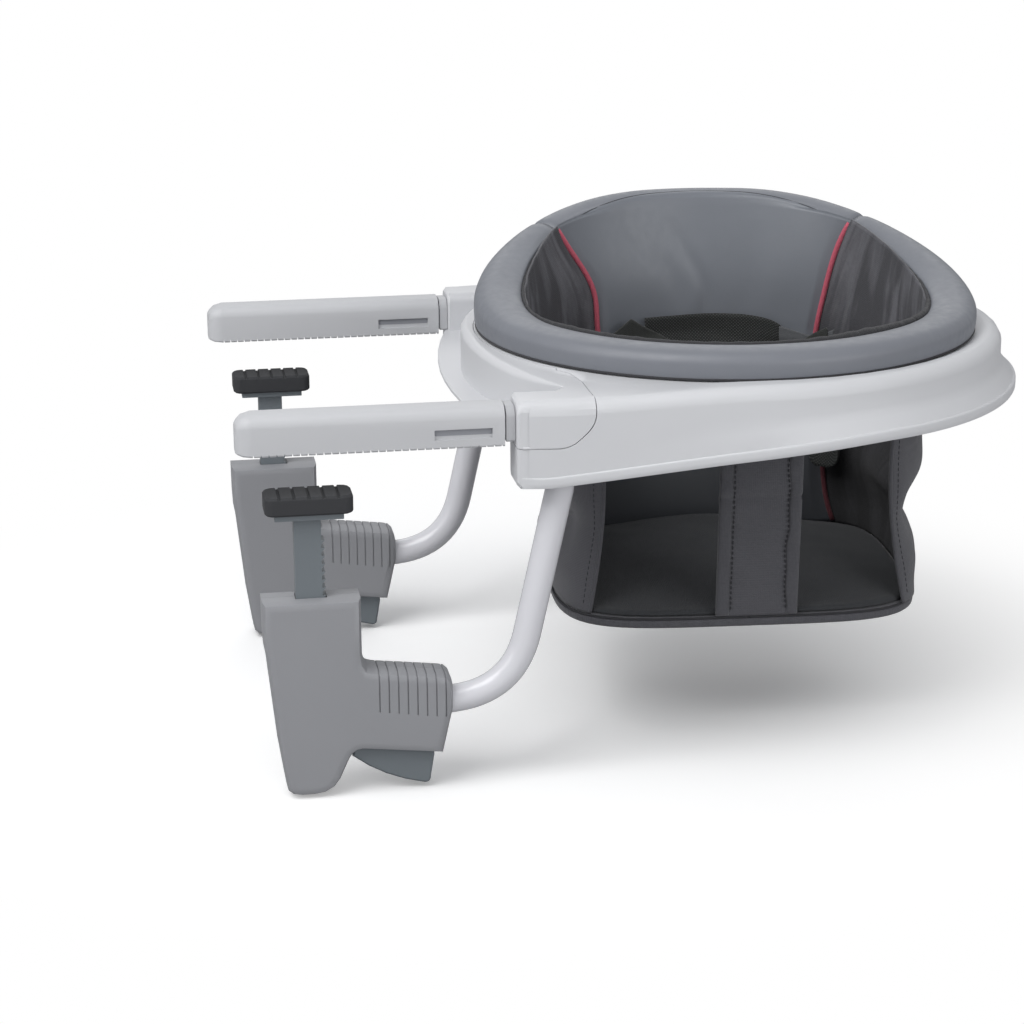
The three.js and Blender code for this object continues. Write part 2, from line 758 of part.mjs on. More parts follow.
// Outline of an arm across its length, drawn in by a step
const armSection = (step, bottom) =>
  roundedLoop(
    -ARM_WIDTH / 2 + step,
    ARM_WIDTH / 2 - step,
    bottom + step * ARM_TIP_FOOT_SHARE,
    ARM_TOP - step,
    HOUSING_BEVEL / 2,
    ARM_EDGE_R - step / 2,
  );

// Toothed boot over an arm
function armBoot(hand) {
  const stations = [
    [ARM_TIP, ARM_TIP_R * 0.62],
    [ARM_TIP + ARM_TIP_R * 0.14, ARM_TIP_R * 0.4],
    [ARM_TIP + ARM_TIP_R * 0.42, ARM_TIP_R * 0.15],
    [ARM_TIP + ARM_TIP_R, 0],
    [ARM_END, 0],
  ];
  const body = solidOf(
    loft(
      stations.map(([, step]) => armSection(step, 0)),
      (i, y, z) => [stations[i][0], hand * ARM_Y + y, z],
      false,
    ),
  );
  const hollow = boxBetween(
    ARM_TIP + CORE_NOSE,
    ARM_END + OVERRUN,
    hand * ARM_Y - CORE_WIDTH / 2 - FIT_GAP,
    hand * ARM_Y + CORE_WIDTH / 2 + FIT_GAP,
    CORE_Z - CORE_HEIGHT / 2 - FIT_GAP,
    CORE_Z + CORE_HEIGHT / 2 + FIT_GAP,
  );
  const comb = new THREE.Shape();
  const combStart = ARM_TIP + TOOTH_MARGIN;
  const teethInRow = Math.floor((ARM_END - combStart - TOOTH_GAP) / TOOTH_PITCH);
  const combEnd = combStart + teethInRow * TOOTH_PITCH + TOOTH_GAP;
  comb.moveTo(combStart, -OVERRUN);
  for (let i = 0; i <= teethInRow; i++) {
    const x = combStart + i * TOOTH_PITCH;
    comb.lineTo(x, -TOOTH_DEPTH);
    comb.lineTo(x + TOOTH_GAP / 4, TOOTH_DEPTH);
    comb.lineTo(x + TOOTH_GAP, -TOOTH_DEPTH);
  }
  comb.lineTo(combEnd, -OVERRUN);
  const teeth = slab(comb, ARM_WIDTH + OVERRUN, hand * ARM_Y);
  const slotX = ARM_END - SLOT_SET_BACK;
  const slots = [-1, 1].map((side) =>
    boxBetween(
      slotX - SLOT_LENGTH / 2,
      slotX + SLOT_LENGTH / 2,
      hand * ARM_Y + side * (ARM_WIDTH / 2 - SLOT_DEPTH),
      hand * ARM_Y + side * (ARM_WIDTH / 2 + OVERRUN),
      SLOT_Z - SLOT_HEIGHT / 2,
      SLOT_Z + SLOT_HEIGHT / 2,
    ),
  );
  return cut(body, hollow, teeth, ...slots);
}

// Hollow beam inside an arm, anchored in the base
function armCore(hand) {
  const y = hand * ARM_Y;
  const w = CORE_WIDTH / 2;
  const h = CORE_HEIGHT / 2;
  const beam = boxBetween(ARM_TIP + CORE_NOSE + FIT_GAP, CORE_BACK, y - w, y + w, CORE_Z - h, CORE_Z + h);
  const bore = boxBetween(
    ARM_TIP,
    CORE_BACK + OVERRUN,
    y - w + CORE_WALL,
    y + w - CORE_WALL,
    CORE_Z - h + CORE_WALL,
    CORE_Z + h - CORE_WALL,
  );
  return cut(beam, bore);
}

// Collar between boot and housing
function armCollar(hand) {
  const stations = [ARM_END + COLLAR_GAP, -FIT_GAP];
  const body = solidOf(
    loft(
      stations.map(() => armSection(COLLAR_STEP, TOOTH_DEPTH)),
      (i, y, z) => [stations[i], hand * ARM_Y + y, z],
      false,
    ),
  );
  return cut(body, corePassage(hand).add(corePassage(hand).translate(-OVERRUN, 0, 0)));
}

// Steel bracket that hangs the fold pin below the arm beam
function armBracket(hand) {
  const y = hand * ARM_Y;
  const inner = TUBE_R + FIT_GAP;
  const top = CORE_Z - CORE_HEIGHT / 2 - FIT_GAP;
  const web = boxBetween(
    FOLD_X - inner - BRACKET_PLATE,
    FOLD_X + inner + BRACKET_PLATE,
    y - BRACKET_HALF,
    y + BRACKET_HALF,
    top - BRACKET_PLATE,
    top,
  );
  const plates = [-1, 1].map((side) => {
    const x0 = FOLD_X + side * inner;
    const plate = boxBetween(x0, x0 + side * BRACKET_PLATE, y - BRACKET_HALF, y + BRACKET_HALF, FOLD_Z, top);
    const eye = barAlong(
      "x",
      BRACKET_BELOW,
      Math.min(x0, x0 + side * BRACKET_PLATE),
      Math.max(x0, x0 + side * BRACKET_PLATE),
      y,
      FOLD_Z,
      2 * ROUND_SIDES,
    );
    return plate.add(eye);
  });
  const bore = barAlong("x", FOLD_PIN_R + FIT_GAP, 0, 2 * FOLD_X, y, FOLD_Z);
  return cut(join(web, ...plates), bore);
}

function foldPin(hand) {
  const y = hand * ARM_Y;
  const reach = TUBE_R + BRACKET_PLATE + 2 * FIT_GAP;
  return join(
    barAlong("x", FOLD_PIN_R, FOLD_X - reach, FOLD_X + reach, y, FOLD_Z),
    barAlong("x", FOLD_PIN_HEAD_R, FOLD_X - reach - FOLD_PIN_HEAD, FOLD_X - reach, y, FOLD_Z),
    barAlong("x", FOLD_PIN_HEAD_R, FOLD_X + reach, FOLD_X + reach + FOLD_PIN_HEAD, y, FOLD_Z),
  );
}

// Straight runs joined by arcs at the corners of a route in X and Z
function bentRoute(corners, radii, y) {
  const path = new THREE.CurvePath();
  const points = corners.map(([x, z]) => new THREE.Vector3(x, y, z));
  let from = points[0];
  for (let i = 1; i < points.length - 1; i++) {
    const back = points[i - 1].clone().sub(points[i]).normalize();
    const ahead = points[i + 1].clone().sub(points[i]).normalize();
    const half = back.angleTo(ahead) / 2;
    const run = radii[i - 1] / Math.tan(half);
    const start = points[i].clone().addScaledVector(back, run);
    const end = points[i].clone().addScaledVector(ahead, run);
    path.add(new THREE.LineCurve3(from, start));
    path.add(new THREE.QuadraticBezierCurve3(start, points[i], end));
    from = end;
  }
  path.add(new THREE.LineCurve3(from, points[points.length - 1]));
  return path;
}

// Stations along a route: the ends of its straight runs and steps round its bends
function routeFrames(path, bendSteps) {
  const frames = [];
  path.curves.forEach((curve) => {
    const steps = curve.isLineCurve3 ? 1 : bendSteps;
    for (let i = frames.length ? 1 : 0; i <= steps; i++) {
      frames.push([curve.getPoint(i / steps), curve.getTangent(i / steps)]);
    }
  });
  return frames;
}

// A round bar along a route that lies in a plane of constant Y
function tubeAlong(path, radius, sides, bendSteps) {
  const frames = routeFrames(path, bendSteps);
  const loop = [];
  for (let j = 0; j < sides; j++) {
    const turn = (Math.PI * 2 * (j + 0.5)) / sides;
    loop.push([radius * Math.cos(turn), radius * Math.sin(turn)]);
  }
  return solidOf(
    loft(
      frames.map(() => loop),
      (i, u, v) => {
        const [centre, tangent] = frames[i];
        return [centre.x - tangent.z * u, centre.y + v, centre.z + tangent.x * u];
      },
      false,
    ),
  );
}

const tubeCorners = [
  [FOLD_X, TUBE_TOP_Z],
  [FOLD_X, TUBE_KNEE_Z],
  [TUBE_ELBOW_X, TUBE_ELBOW_Z],
  [TUBE_END_X, TUBE_END_Z],
];
const tubeRadii = [TUBE_BEND_R, TUBE_ELBOW_R];

function clampTube(hand) {
  const path = bentRoute(tubeCorners, tubeRadii, hand * ARM_Y);
  const pinBore = barAlong("x", FOLD_PIN_R + FIT_GAP, 0, 2 * FOLD_X, hand * ARM_Y, FOLD_Z);
  return cut(tubeAlong(path, TUBE_R, ROUND_SIDES, 4), pinBore);
}

// Clamp body seen from the side, in X and Z
function clampOutline() {
  const shape = new THREE.Shape();
  shape.moveTo(POST_LEFT, POST_TOP);
  shape.quadraticCurveTo(POST_LEFT, POST_WAIST_Z, POST_WAIST_X, POST_WAIST_Z);
  shape.lineTo(POST_HIP_X, POST_HIP_Z);
  shape.lineTo(POST_HEEL_X, POST_HEEL_Z);
  shape.quadraticCurveTo(POST_HEEL_X, POST_BOTTOM, POST_SOLE_LEFT, POST_BOTTOM);
  shape.lineTo(POST_SOLE_RIGHT, POST_BOTTOM);
  shape.quadraticCurveTo(POST_BALL_X, POST_BOTTOM, POST_TOE_X, POST_TOE_Z);
  shape.lineTo(
    mix(POST_TOE_X, GRIP_ARCH_X, GRIP_ARCH_SHARE),
    mix(POST_TOE_Z, GRIP_ROOT_Z, GRIP_ARCH_SHARE),
  );
  shape.quadraticCurveTo(GRIP_ARCH_X, GRIP_ROOT_Z, GRIP_ROOT_X, GRIP_ROOT_Z);
  shape.lineTo(GRIP_HEEL_X, GRIP_BOTTOM);
  shape.lineTo(GRIP_END_X, GRIP_END_Z);
  shape.lineTo(GRIP_END_X, GRIP_TOP - GRIP_EDGE_R);
  shape.quadraticCurveTo(GRIP_END_X, GRIP_TOP, GRIP_END_X - GRIP_EDGE_R, GRIP_TOP);
  shape.lineTo(GRIP_FILLET_X, GRIP_FILLET_Z);
  shape.quadraticCurveTo(POST_RIGHT, GRIP_FILLET_Z, POST_RIGHT, POST_WAIST_Z);
  shape.lineTo(POST_RIGHT, POST_TOP);
  return shape;
}

const rodHalfX = ROD_WIDTH / 2;
const rodHalfY = ROD_THICK / 2;
const footTop = -TABLE_THICKNESS;
const footBottom = footTop - FOOT_HEIGHT;
const rodTop = footBottom - FIT_GAP;

// Both halves of a clamp body, with their channels for rod, tube and lever
function clampBody(hand) {
  const y = hand * ARM_Y;
  const whole = slab(clampOutline(), CLAMP_WIDTH, y, CLAMP_BEVEL, 3, 2);
  const heart = slab(clampOutline(), CLAMP_WIDTH, y, CLAMP_BEVEL - RIB_DEPTH, 3, 2, RIB_DEPTH);
  const rodChannel = boxBetween(
    ROD_X - rodHalfX - RUNNING_GAP,
    ROD_X + rodHalfX + RUNNING_GAP,
    y - rodHalfY - RUNNING_GAP,
    y + rodHalfY + RUNNING_GAP,
    POST_BOTTOM + BASE_WALL,
    POST_TOP + OVERRUN,
  );
  const leverHalf = LEVER_WIDTH / 2 + RUNNING_GAP;
  const leverRoom = new THREE.Shape();
  const roomLeft = LEVER_PIVOT_X - LEVER_LUG_R - RUNNING_GAP;
  const roomRight = LEVER_END_X + LEVER_ROOM_END;
  leverRoom.moveTo(roomLeft, POST_BOTTOM);
  leverRoom.lineTo(roomRight, POST_BOTTOM);
  leverRoom.lineTo(roomRight, LEVER_ROOM_Z);
  leverRoom.lineTo(LEVER_PIVOT_X + LEVER_LUG_R, LEVER_PIVOT_Z + LEVER_LUG_R + RUNNING_GAP);
  leverRoom.lineTo(roomLeft, LEVER_PIVOT_Z + LEVER_LUG_R + RUNNING_GAP);
  const socket = tubeAlong(
    bentRoute(tubeCorners, tubeRadii, y),
    TUBE_R + FIT_GAP,
    ROUND_SIDES,
    4,
  ).intersect(
    boxBetween(TUBE_END_X - OVERRUN, GRIP_END_X + OVERRUN, y - OVERRUN, y + OVERRUN, GRIP_BOTTOM, GRIP_TOP),
  );
  const socketEnd = socket.translate(-FIT_GAP - RUNNING_GAP, 0, 0);
  const pinBore = barAlong(
    "y",
    LEVER_PIN_R + FIT_GAP,
    y - LEVER_PIN_LENGTH / 2 - FIT_GAP,
    y + LEVER_PIN_LENGTH / 2 + FIT_GAP,
    LEVER_PIVOT_X,
    LEVER_PIVOT_Z,
  );
  const ribs = [];
  for (let i = 0; i < RIB_COUNT; i++) {
    const x = RIB_FIRST_X + i * RIB_PITCH;
    const slice = boxBetween(
      x - RIB_WIDTH / 2,
      x + RIB_WIDTH / 2,
      y - CLAMP_WIDTH,
      y + CLAMP_WIDTH,
      RIB_FOOT_Z - i * RIB_FOOT_STEP,
      POST_TOP,
    );
    ribs.push(slice.subtract(heart));
  }
  const hollow = cut(
    whole,
    rodChannel,
    slab(leverRoom, 2 * leverHalf, y),
    socket,
    socketEnd,
    pinBore,
    ...ribs,
  );
  const half = (side) =>
    hollow.intersect(
      boxBetween(
        POST_LEFT - OVERRUN,
        GRIP_END_X + OVERRUN,
        y + (side * FIT_GAP) / 2,
        y + side * CLAMP_WIDTH,
        POST_BOTTOM - OVERRUN,
        POST_TOP + OVERRUN,
      ),
    );
  return { outer: half(hand), inner: half(-hand) };
}

// Toothed rod that carries the clamp foot
function clampRod(hand) {
  const y = hand * ARM_Y;
  const shape = new THREE.Shape();
  const left = ROD_X - rodHalfX;
  const right = ROD_X + rodHalfX;
  const bottom = rodTop - ROD_HEAD - ROD_LENGTH;
  shape.moveTo(left, rodTop - ROD_HEAD / 2);
  shape.lineTo(left, bottom);
  shape.lineTo(right - ROD_TOOTH_DEPTH, bottom);
  for (let i = 0; i < ROD_TOOTH_COUNT; i++) {
    const z = bottom + ROD_TOOTH_FOOT + i * ROD_TOOTH_PITCH;
    shape.lineTo(right - ROD_TOOTH_DEPTH, z);
    shape.lineTo(right, z + ROD_TOOTH_PITCH / 2);
    shape.lineTo(right - ROD_TOOTH_DEPTH, z + ROD_TOOTH_PITCH / 2);
  }
  shape.lineTo(right - ROD_TOOTH_DEPTH, rodTop - ROD_HEAD / 2);
  const head = boxBetween(
    ROD_X - ROD_HEAD_LENGTH / 2,
    ROD_X + ROD_HEAD_LENGTH / 2,
    y - ROD_HEAD_WIDTH / 2,
    y + ROD_HEAD_WIDTH / 2,
    rodTop - ROD_HEAD,
    rodTop,
  );
  return slab(shape, ROD_THICK, y).add(head);
}

// Rubber foot that presses up against the table
function clampFoot(hand) {
  const y = hand * ARM_Y;
  const loopAt = (step) =>
    roundedLoop(
      -FOOT_LENGTH / 2 + step,
      FOOT_LENGTH / 2 - step,
      -FOOT_WIDTH / 2 + step,
      FOOT_WIDTH / 2 - step,
      FOOT_EDGE_R,
      FOOT_EDGE_R,
      3,
      3,
    );
  const levels = [
    [footBottom, FOOT_BEVEL],
    [footBottom + FOOT_BEVEL, 0],
    [footTop - FOOT_BEVEL, 0],
    [footTop, FOOT_BEVEL],
  ];
  const body = solidOf(
    loft(
      levels.map(([, step]) => loopAt(step)),
      (i, u, v) => [ROD_X + u, y + v, levels[i][0]],
      false,
    ),
  );
  const grooves = [];
  for (let i = 0; i < FOOT_GROOVE_COUNT; i++) {
    const x = ROD_X + FOOT_LENGTH * ((i + 1) / (FOOT_GROOVE_COUNT + 1) - 0.5);
    grooves.push(
      boxBetween(
        x - FOOT_GROOVE / 2,
        x + FOOT_GROOVE / 2,
        y - FOOT_WIDTH,
        y + FOOT_WIDTH,
        footTop - FOOT_GROOVE_DEPTH,
        footTop + OVERRUN,
      ),
    );
  }
  return cut(body, ...grooves);
}

function clampLever(hand) {
  const y = hand * ARM_Y;
  const shape = new THREE.Shape();
  shape.moveTo(LEVER_TIP_X, LEVER_TIP_Z);
  shape.quadraticCurveTo(LEVER_BELLY_X, LEVER_BELLY_Z, LEVER_HEEL_X, LEVER_HEEL_Z);
  shape.quadraticCurveTo(LEVER_CORNER_X, LEVER_HEEL_Z, LEVER_CORNER_X, LEVER_CORNER_Z);
  shape.lineTo(LEVER_END_X, LEVER_END_Z);
  shape.lineTo(LEVER_END_X, LEVER_TOP_Z);
  shape.lineTo(LEVER_PIVOT_X + LEVER_LUG_R, LEVER_ROOT_Z);
  shape.lineTo(LEVER_PIVOT_X - LEVER_LUG_R / 2, LEVER_ROOT_Z);
  const body = slab(shape, LEVER_WIDTH, y, LEVER_BEVEL, 4, 1);
  const half = LEVER_WIDTH / 2;
  const lug = barAlong("y", LEVER_LUG_R, y - half, y + half, LEVER_PIVOT_X, LEVER_PIVOT_Z);
  const boreR = LEVER_PIN_R + FIT_GAP;
  const bore = barAlong("y", boreR, y - LEVER_WIDTH, y + LEVER_WIDTH, LEVER_PIVOT_X, LEVER_PIVOT_Z);
  return cut(body.add(lug), bore);
}

const leverPin = (hand) =>
  barAlong(
    "y",
    LEVER_PIN_R,
    hand * ARM_Y - LEVER_PIN_LENGTH / 2,
    hand * ARM_Y + LEVER_PIN_LENGTH / 2,
    LEVER_PIVOT_X,
    LEVER_PIVOT_Z,
  );

for (const [side, hand] of [
  ["near", -1],
  ["far", 1],
]) {
  const arm = new THREE.Group();
  root.add(arm);
  node(arm, "arm_beam_" + side, armCore(hand), BRIGHT_STEEL);
  node(arm, "arm_boot_" + side, armBoot(hand), BOOT_RUBBER);
  node(arm, "arm_collar_" + side, armCollar(hand), LIGHT_PLASTIC);
  node(arm, "fold_bracket_" + side, armBracket(hand), BRIGHT_STEEL);
  node(arm, "fold_pin_" + side, foldPin(hand), BRIGHT_STEEL);
  const grip = new THREE.Group();
  arm.add(grip);
  const body = clampBody(hand);
  node(grip, "clamp_tube_" + side, clampTube(hand), STEEL_PAINT);
  node(grip, "clamp_shell_outer_" + side, body.outer, GRIP_PLASTIC);
  node(grip, "clamp_shell_inner_" + side, body.inner, GRIP_PLASTIC);
  node(grip, "lever_pin_" + side, leverPin(hand), BRIGHT_STEEL);
  node(grip, "clamp_lever_" + side, clampLever(hand), LEVER_PLASTIC);
  node(grip, "clamp_rod_" + side, clampRod(hand), LEVER_PLASTIC);
  node(grip, "clamp_foot_" + side, clampFoot(hand), DARK_RUBBER);
}

// Seat, built round the ring axis with its front towards -Y, then turned as it stands
const seat = new THREE.Group();
seat.position.x = RING_X;
seat.rotation.z = rad(SEAT_TURN_DEG);
root.add(seat);

const flangeBottom = LEDGE_Z + RUNNING_GAP;
const flangeTop = flangeBottom + SWIVEL_FLANGE;
const skirtOut = RACE_R - RUNNING_GAP;
const skirtBottom = RACE_BOTTOM - RUNNING_GAP;
node(
  seat,
  "swivel_ring",
  revolved([
    [skirtOut - SWIVEL_SKIRT, skirtBottom],
    [skirtOut, skirtBottom],
    [skirtOut, flangeBottom],
    [SWIVEL_OUT_R, flangeBottom],
    [SWIVEL_OUT_R, flangeTop],
    [SWIVEL_RIB_R + SWIVEL_RIB, flangeTop],
    [SWIVEL_RIB_R + SWIVEL_RIB, flangeTop + SWIVEL_RIB_HEIGHT],
    [SWIVEL_RIB_R, flangeTop + SWIVEL_RIB_HEIGHT],
    [SWIVEL_RIB_R, flangeTop],
    [SWIVEL_IN_R, flangeTop],
    [SWIVEL_IN_R, flangeBottom],
    [skirtOut - SWIVEL_SKIRT, flangeBottom],
  ]),
  () => material(0x2f3134, 0.6),
);
node(
  seat,
  "swivel_retainer",
  revolved([
    [RACE_R - RETAINER_INWARD, skirtBottom - FIT_GAP - RETAINER_THICKNESS],
    [RACE_R + RETAINER_OUTWARD, skirtBottom - FIT_GAP - RETAINER_THICKNESS],
    [RACE_R + RETAINER_OUTWARD, skirtBottom - FIT_GAP],
    [RACE_R - RETAINER_INWARD, skirtBottom - FIT_GAP],
  ]),
  () => material(0x2f3134, 0.6),
);

// Place at an angle from the seat's front and a radius
const around = (degrees, radius, z) => [
  radius * Math.sin(rad(degrees)),
  -radius * Math.cos(rad(degrees)),
  z,
];
const fromFront = (degrees) => Math.abs(((degrees + 540) % 360) - 180);
const riseSpan = RIM_RISE_TO_DEG - RIM_RISE_FROM_DEG;
const rimRise = (degrees) => smooth((fromFront(degrees) - RIM_RISE_FROM_DEG) / riseSpan);
const sideSpan = RIM_SIDE_TO_DEG - RIM_SIDE_FROM_DEG;
const sideShare = (degrees) => clamp((fromFront(degrees) - RIM_SIDE_FROM_DEG) / sideSpan);
const rimHug = (degrees) => Math.sin(Math.PI * sideShare(degrees)) ** 2;
const rimTop = (degrees) => mix(RIM_FRONT_TOP, RIM_BACK_TOP, rimRise(degrees));
const rimInner = (degrees) =>
  mix(RIM_IN_R, RIM_BACK_IN_R, rimRise(degrees)) - RIM_SIDE_SET * rimHug(degrees);
const rimEdge = (degrees) => rimTop(degrees) - RIM_EDGE_DROP;
const rimBottom = flangeTop + FIT_GAP;

// Cross-section of the padded rim: rounded outside, open below for the ring's rib and the hoop
function rimSection(degrees) {
  const top = rimTop(degrees);
  const inner = rimInner(degrees);
  const width = RIM_OUT_R - inner;
  const slotIn = SWIVEL_RIB_R + SWIVEL_RIB / 2 - RIM_SLOT_WIDTH / 2;
  const slotOut = slotIn + RIM_SLOT_WIDTH;
  const rise = top - rimBottom;
  return [
    [RIM_OUT_R - width * 0.12, rimBottom],
    [RIM_OUT_R - width * 0.03, rimBottom + RIM_EDGE_DROP],
    [RIM_OUT_R, mix(rimBottom, top, 0.42)],
    [RIM_OUT_R - width * 0.04, mix(rimBottom, top, 0.68)],
    [RIM_OUT_R - width * 0.14, top - rise * 0.16],
    [RIM_OUT_R - width * 0.3, top - rise * 0.04],
    [inner + width * 0.45, top],
    [inner + width * 0.22, top - RIM_EDGE_DROP * 0.25],
    [inner + width * 0.05, top - RIM_EDGE_DROP * 0.7],
    [inner, rimEdge(degrees) - RIM_EDGE_IN],
    [inner, rimBottom + RIM_EDGE_IN],
    [inner + RIM_EDGE_IN, rimBottom],
    [slotIn, rimBottom],
    [slotIn, top - RIM_SLOT_ROOF],
    [slotOut, top - RIM_SLOT_ROOF],
    [slotOut, rimBottom],
  ];
}

function rimPad(from, to, steps) {
  const angles = [];
  for (let i = 0; i <= steps; i++) angles.push(mix(from, to, i / steps));
  return loft(
    angles.map(rimSection),
    (i, r, z) => around(angles[i], r, z),
    false,
  );
}

const seamDeg = THREE.MathUtils.radToDeg(FIT_GAP / RIM_IN_R);
node(seat, "rim_pad_front", rimPad(-RIM_SEAM_DEG + seamDeg, RIM_SEAM_DEG - seamDeg, 32), RIM_VINYL);
node(seat, "rim_pad_back", rimPad(RIM_SEAM_DEG + seamDeg, 360 - RIM_SEAM_DEG - seamDeg, 16), RIM_VINYL);

// Steel hoop that holds up the raised back inside the pad
function backHoop() {
  const steps = 20;
  const centreR = SWIVEL_RIB_R + SWIVEL_RIB / 2;
  const from = HOOP_FROM_DEG;
  const stations = [];
  for (let i = 0; i <= steps; i++) {
    const degrees = mix(from, 360 - from, i / steps);
    stations.push([degrees, rimTop(degrees) - RIM_SLOT_ROOF - HOOP_R - RUNNING_GAP]);
  }
  const loop = [];
  for (let j = 0; j < SMALL_SIDES; j++) {
    const turn = (Math.PI * 2 * (j + 0.5)) / SMALL_SIDES;
    loop.push([HOOP_R * Math.cos(turn), HOOP_R * Math.sin(turn)]);
  }
  return loft(
    stations.map(() => loop),
    (i, u, v) => around(stations[i][0], centreR + u, stations[i][1] + v),
    false,
  );
}
node(seat, "back_hoop", backHoop(), BRIGHT_STEEL);

// Seat pan outline, a rounded oblong drawn in by a step, at an angle about its own centre
function panPoint(degrees, step) {
  const s = Math.sin(rad(degrees));
  const c = Math.cos(rad(degrees));
  const across = Math.abs(s) / (PAN_HALF_WIDTH - step);
  const along = Math.abs(c) / (PAN_HALF_DEPTH - step);
  const reach = (across ** PAN_CORNER_POWER + along ** PAN_CORNER_POWER) ** (-1 / PAN_CORNER_POWER);
  return [reach * s, -PAN_FORWARD - reach * c];
}

const hangShare = (z) => clamp((HANG_Z - z) / (HANG_Z - PAN_TOP));

// A point of the hanging cloth wall at an angle, height and depth behind its outer face, pushed outwards
function wallPoint(degrees, z, depth, out) {
  const share = hangShare(z);
  const lean = clamp((z - rimBottom) / (rimEdge(degrees) - rimBottom));
  const inner = rimInner(degrees);
  const hung = mix(Math.min(RIM_IN_R, inner), inner, lean) - CLOTH_GAP - depth;
  const [topX, topY] = around(degrees, hung, z);
  const [panX, panY] = panPoint(degrees, depth);
  return [
    mix(topX, panX, share) + out * Math.sin(rad(degrees)),
    mix(topY, panY, share) - out * Math.cos(rad(degrees)),
    z,
  ];
}

// The wall is drawn in at the back and beside the legs, and each side swells, creases and swells again
const waistAt = (z) => -WAIST_PINCH * Math.sin(Math.PI * hangShare(z));
const heap = (share, at, wide) => Math.exp(-(((share - at) / wide) ** 2));
const swellShares = { belly: 0.4, bellyWide: 0.17, waist: 0.665, waistWide: 0.09, hem: 0.86, hemWide: 0.08 };
function sideSwell(share) {
  const { belly, bellyWide, waist, waistWide, hem, hemWide } = swellShares;
  const rise = SIDE_SWELL * heap(share, belly, bellyWide);
  return rise - SIDE_WAIST * heap(share, waist, waistWide) + SIDE_HEM_SWELL * heap(share, hem, hemWide);
}

// Angle of the piping from the front at a height: a parabola through its top, middle and foot
function pipingDeg(z) {
  const above = rimEdge(RIM_SEAM_DEG) - HANG_Z;
  const below = HANG_Z - PAN_TOP;
  const at = z - HANG_Z;
  const top = (at * (at + below)) / (above * (above + below));
  const mid = ((above - at) * (at + below)) / (above * below);
  const foot = (-at * (above - at)) / (below * (above + below));
  return RIM_SEAM_DEG * top + PIPING_MID_DEG * mid + PIPING_PAN_DEG * foot;
}

// A cloth panel between two edges given as angles at a height, from its top line down to its foot
function clothPanel({ steps, levels, edges, topAt, footAt, depthAt, outAt }) {
  const loops = [];
  const column = [];
  for (let j = 0; j <= levels; j++) column.push([j / levels, 0]);
  for (let j = levels; j >= 0; j--) column.push([j / levels, 1]);
  for (let i = 0; i <= steps; i++) loops.push(column);
  return loft(
    loops,
    (i, down, inside) => {
      const across = i / steps;
      const guess = mix(edges(0)[0], edges(0)[1], across);
      const z = mix(topAt(guess), footAt(guess), down);
      const [from, to] = edges(z);
      const degrees = mix(from, to, across);
      const depth = inside ? depthAt(across, down) : 0;
      return wallPoint(degrees, z, depth, outAt(across, z));
    },
    false,
    true,
  );
}

const degOf = (length) => THREE.MathUtils.radToDeg(length / RIM_IN_R);
const pipingClear = degOf(PIPING_R + PIPING_GAP);
const panelFoot = PAN_TOP + FIT_GAP;
const panelTop = (degrees) => rimEdge(degrees) - RIM_EDGE_IN;
const sideFrontDeg = (z) => mix(SIDE_FRONT_DEG, SIDE_FOOT_DEG, hangShare(z));
function sideOut(across, z) {
  const share = hangShare(z);
  const middle = Math.sin(Math.PI * clamp(across)) ** 0.8;
  const fold = SIDE_FOLD * Math.sin(Math.PI * 5 * across + 2.4 * share) * Math.sin(Math.PI * share);
  return mix(waistAt(z), sideSwell(share) + fold, middle);
}

for (const [side, hand] of [
  ["left", -1],
  ["right", 1],
]) {
  node(
    seat,
    "side_panel_" + side,
    clothPanel({
      steps: 20,
      levels: 13,
      edges: (z) => [hand * sideFrontDeg(z), hand * (pipingDeg(z) - pipingClear)],
      topAt: panelTop,
      footAt: () => panelFoot,
      depthAt: () => CLOTH,
      outAt: sideOut,
    }),
    DARK_NYLON,
  );
}

// Padded backrest between the two lines of piping
node(
  seat,
  "backrest_pad",
  clothPanel({
    steps: 16,
    levels: 10,
    edges: (z) => [pipingDeg(z) + pipingClear, 360 - pipingDeg(z) - pipingClear],
    topAt: panelTop,
    footAt: () => panelFoot,
    depthAt: (across, down) =>
      CLOTH + (BACKREST_PAD - CLOTH) * Math.sin(Math.PI * across) ** 0.6 +
      BACKREST_CROWN * Math.sin(Math.PI * across) * Math.sin(Math.PI * down),
    outAt: (across, z) => waistAt(z),
  }),
  BACK_VINYL,
);

// A point of the front cloth at a distance from its middle line, height and depth behind its outer face
function stripPoint(x, z, depth) {
  const hung = RIM_IN_R - CLOTH_GAP - depth;
  const side = Math.abs(x) / (PAN_HALF_WIDTH - depth);
  const bend = (1 - side ** PAN_CORNER_POWER) ** (1 / PAN_CORNER_POWER);
  const panY = PAN_FORWARD + (PAN_HALF_DEPTH - depth) * bend;
  return [x, -mix(Math.sqrt(hung * hung - x * x), panY, hangShare(z)), z];
}

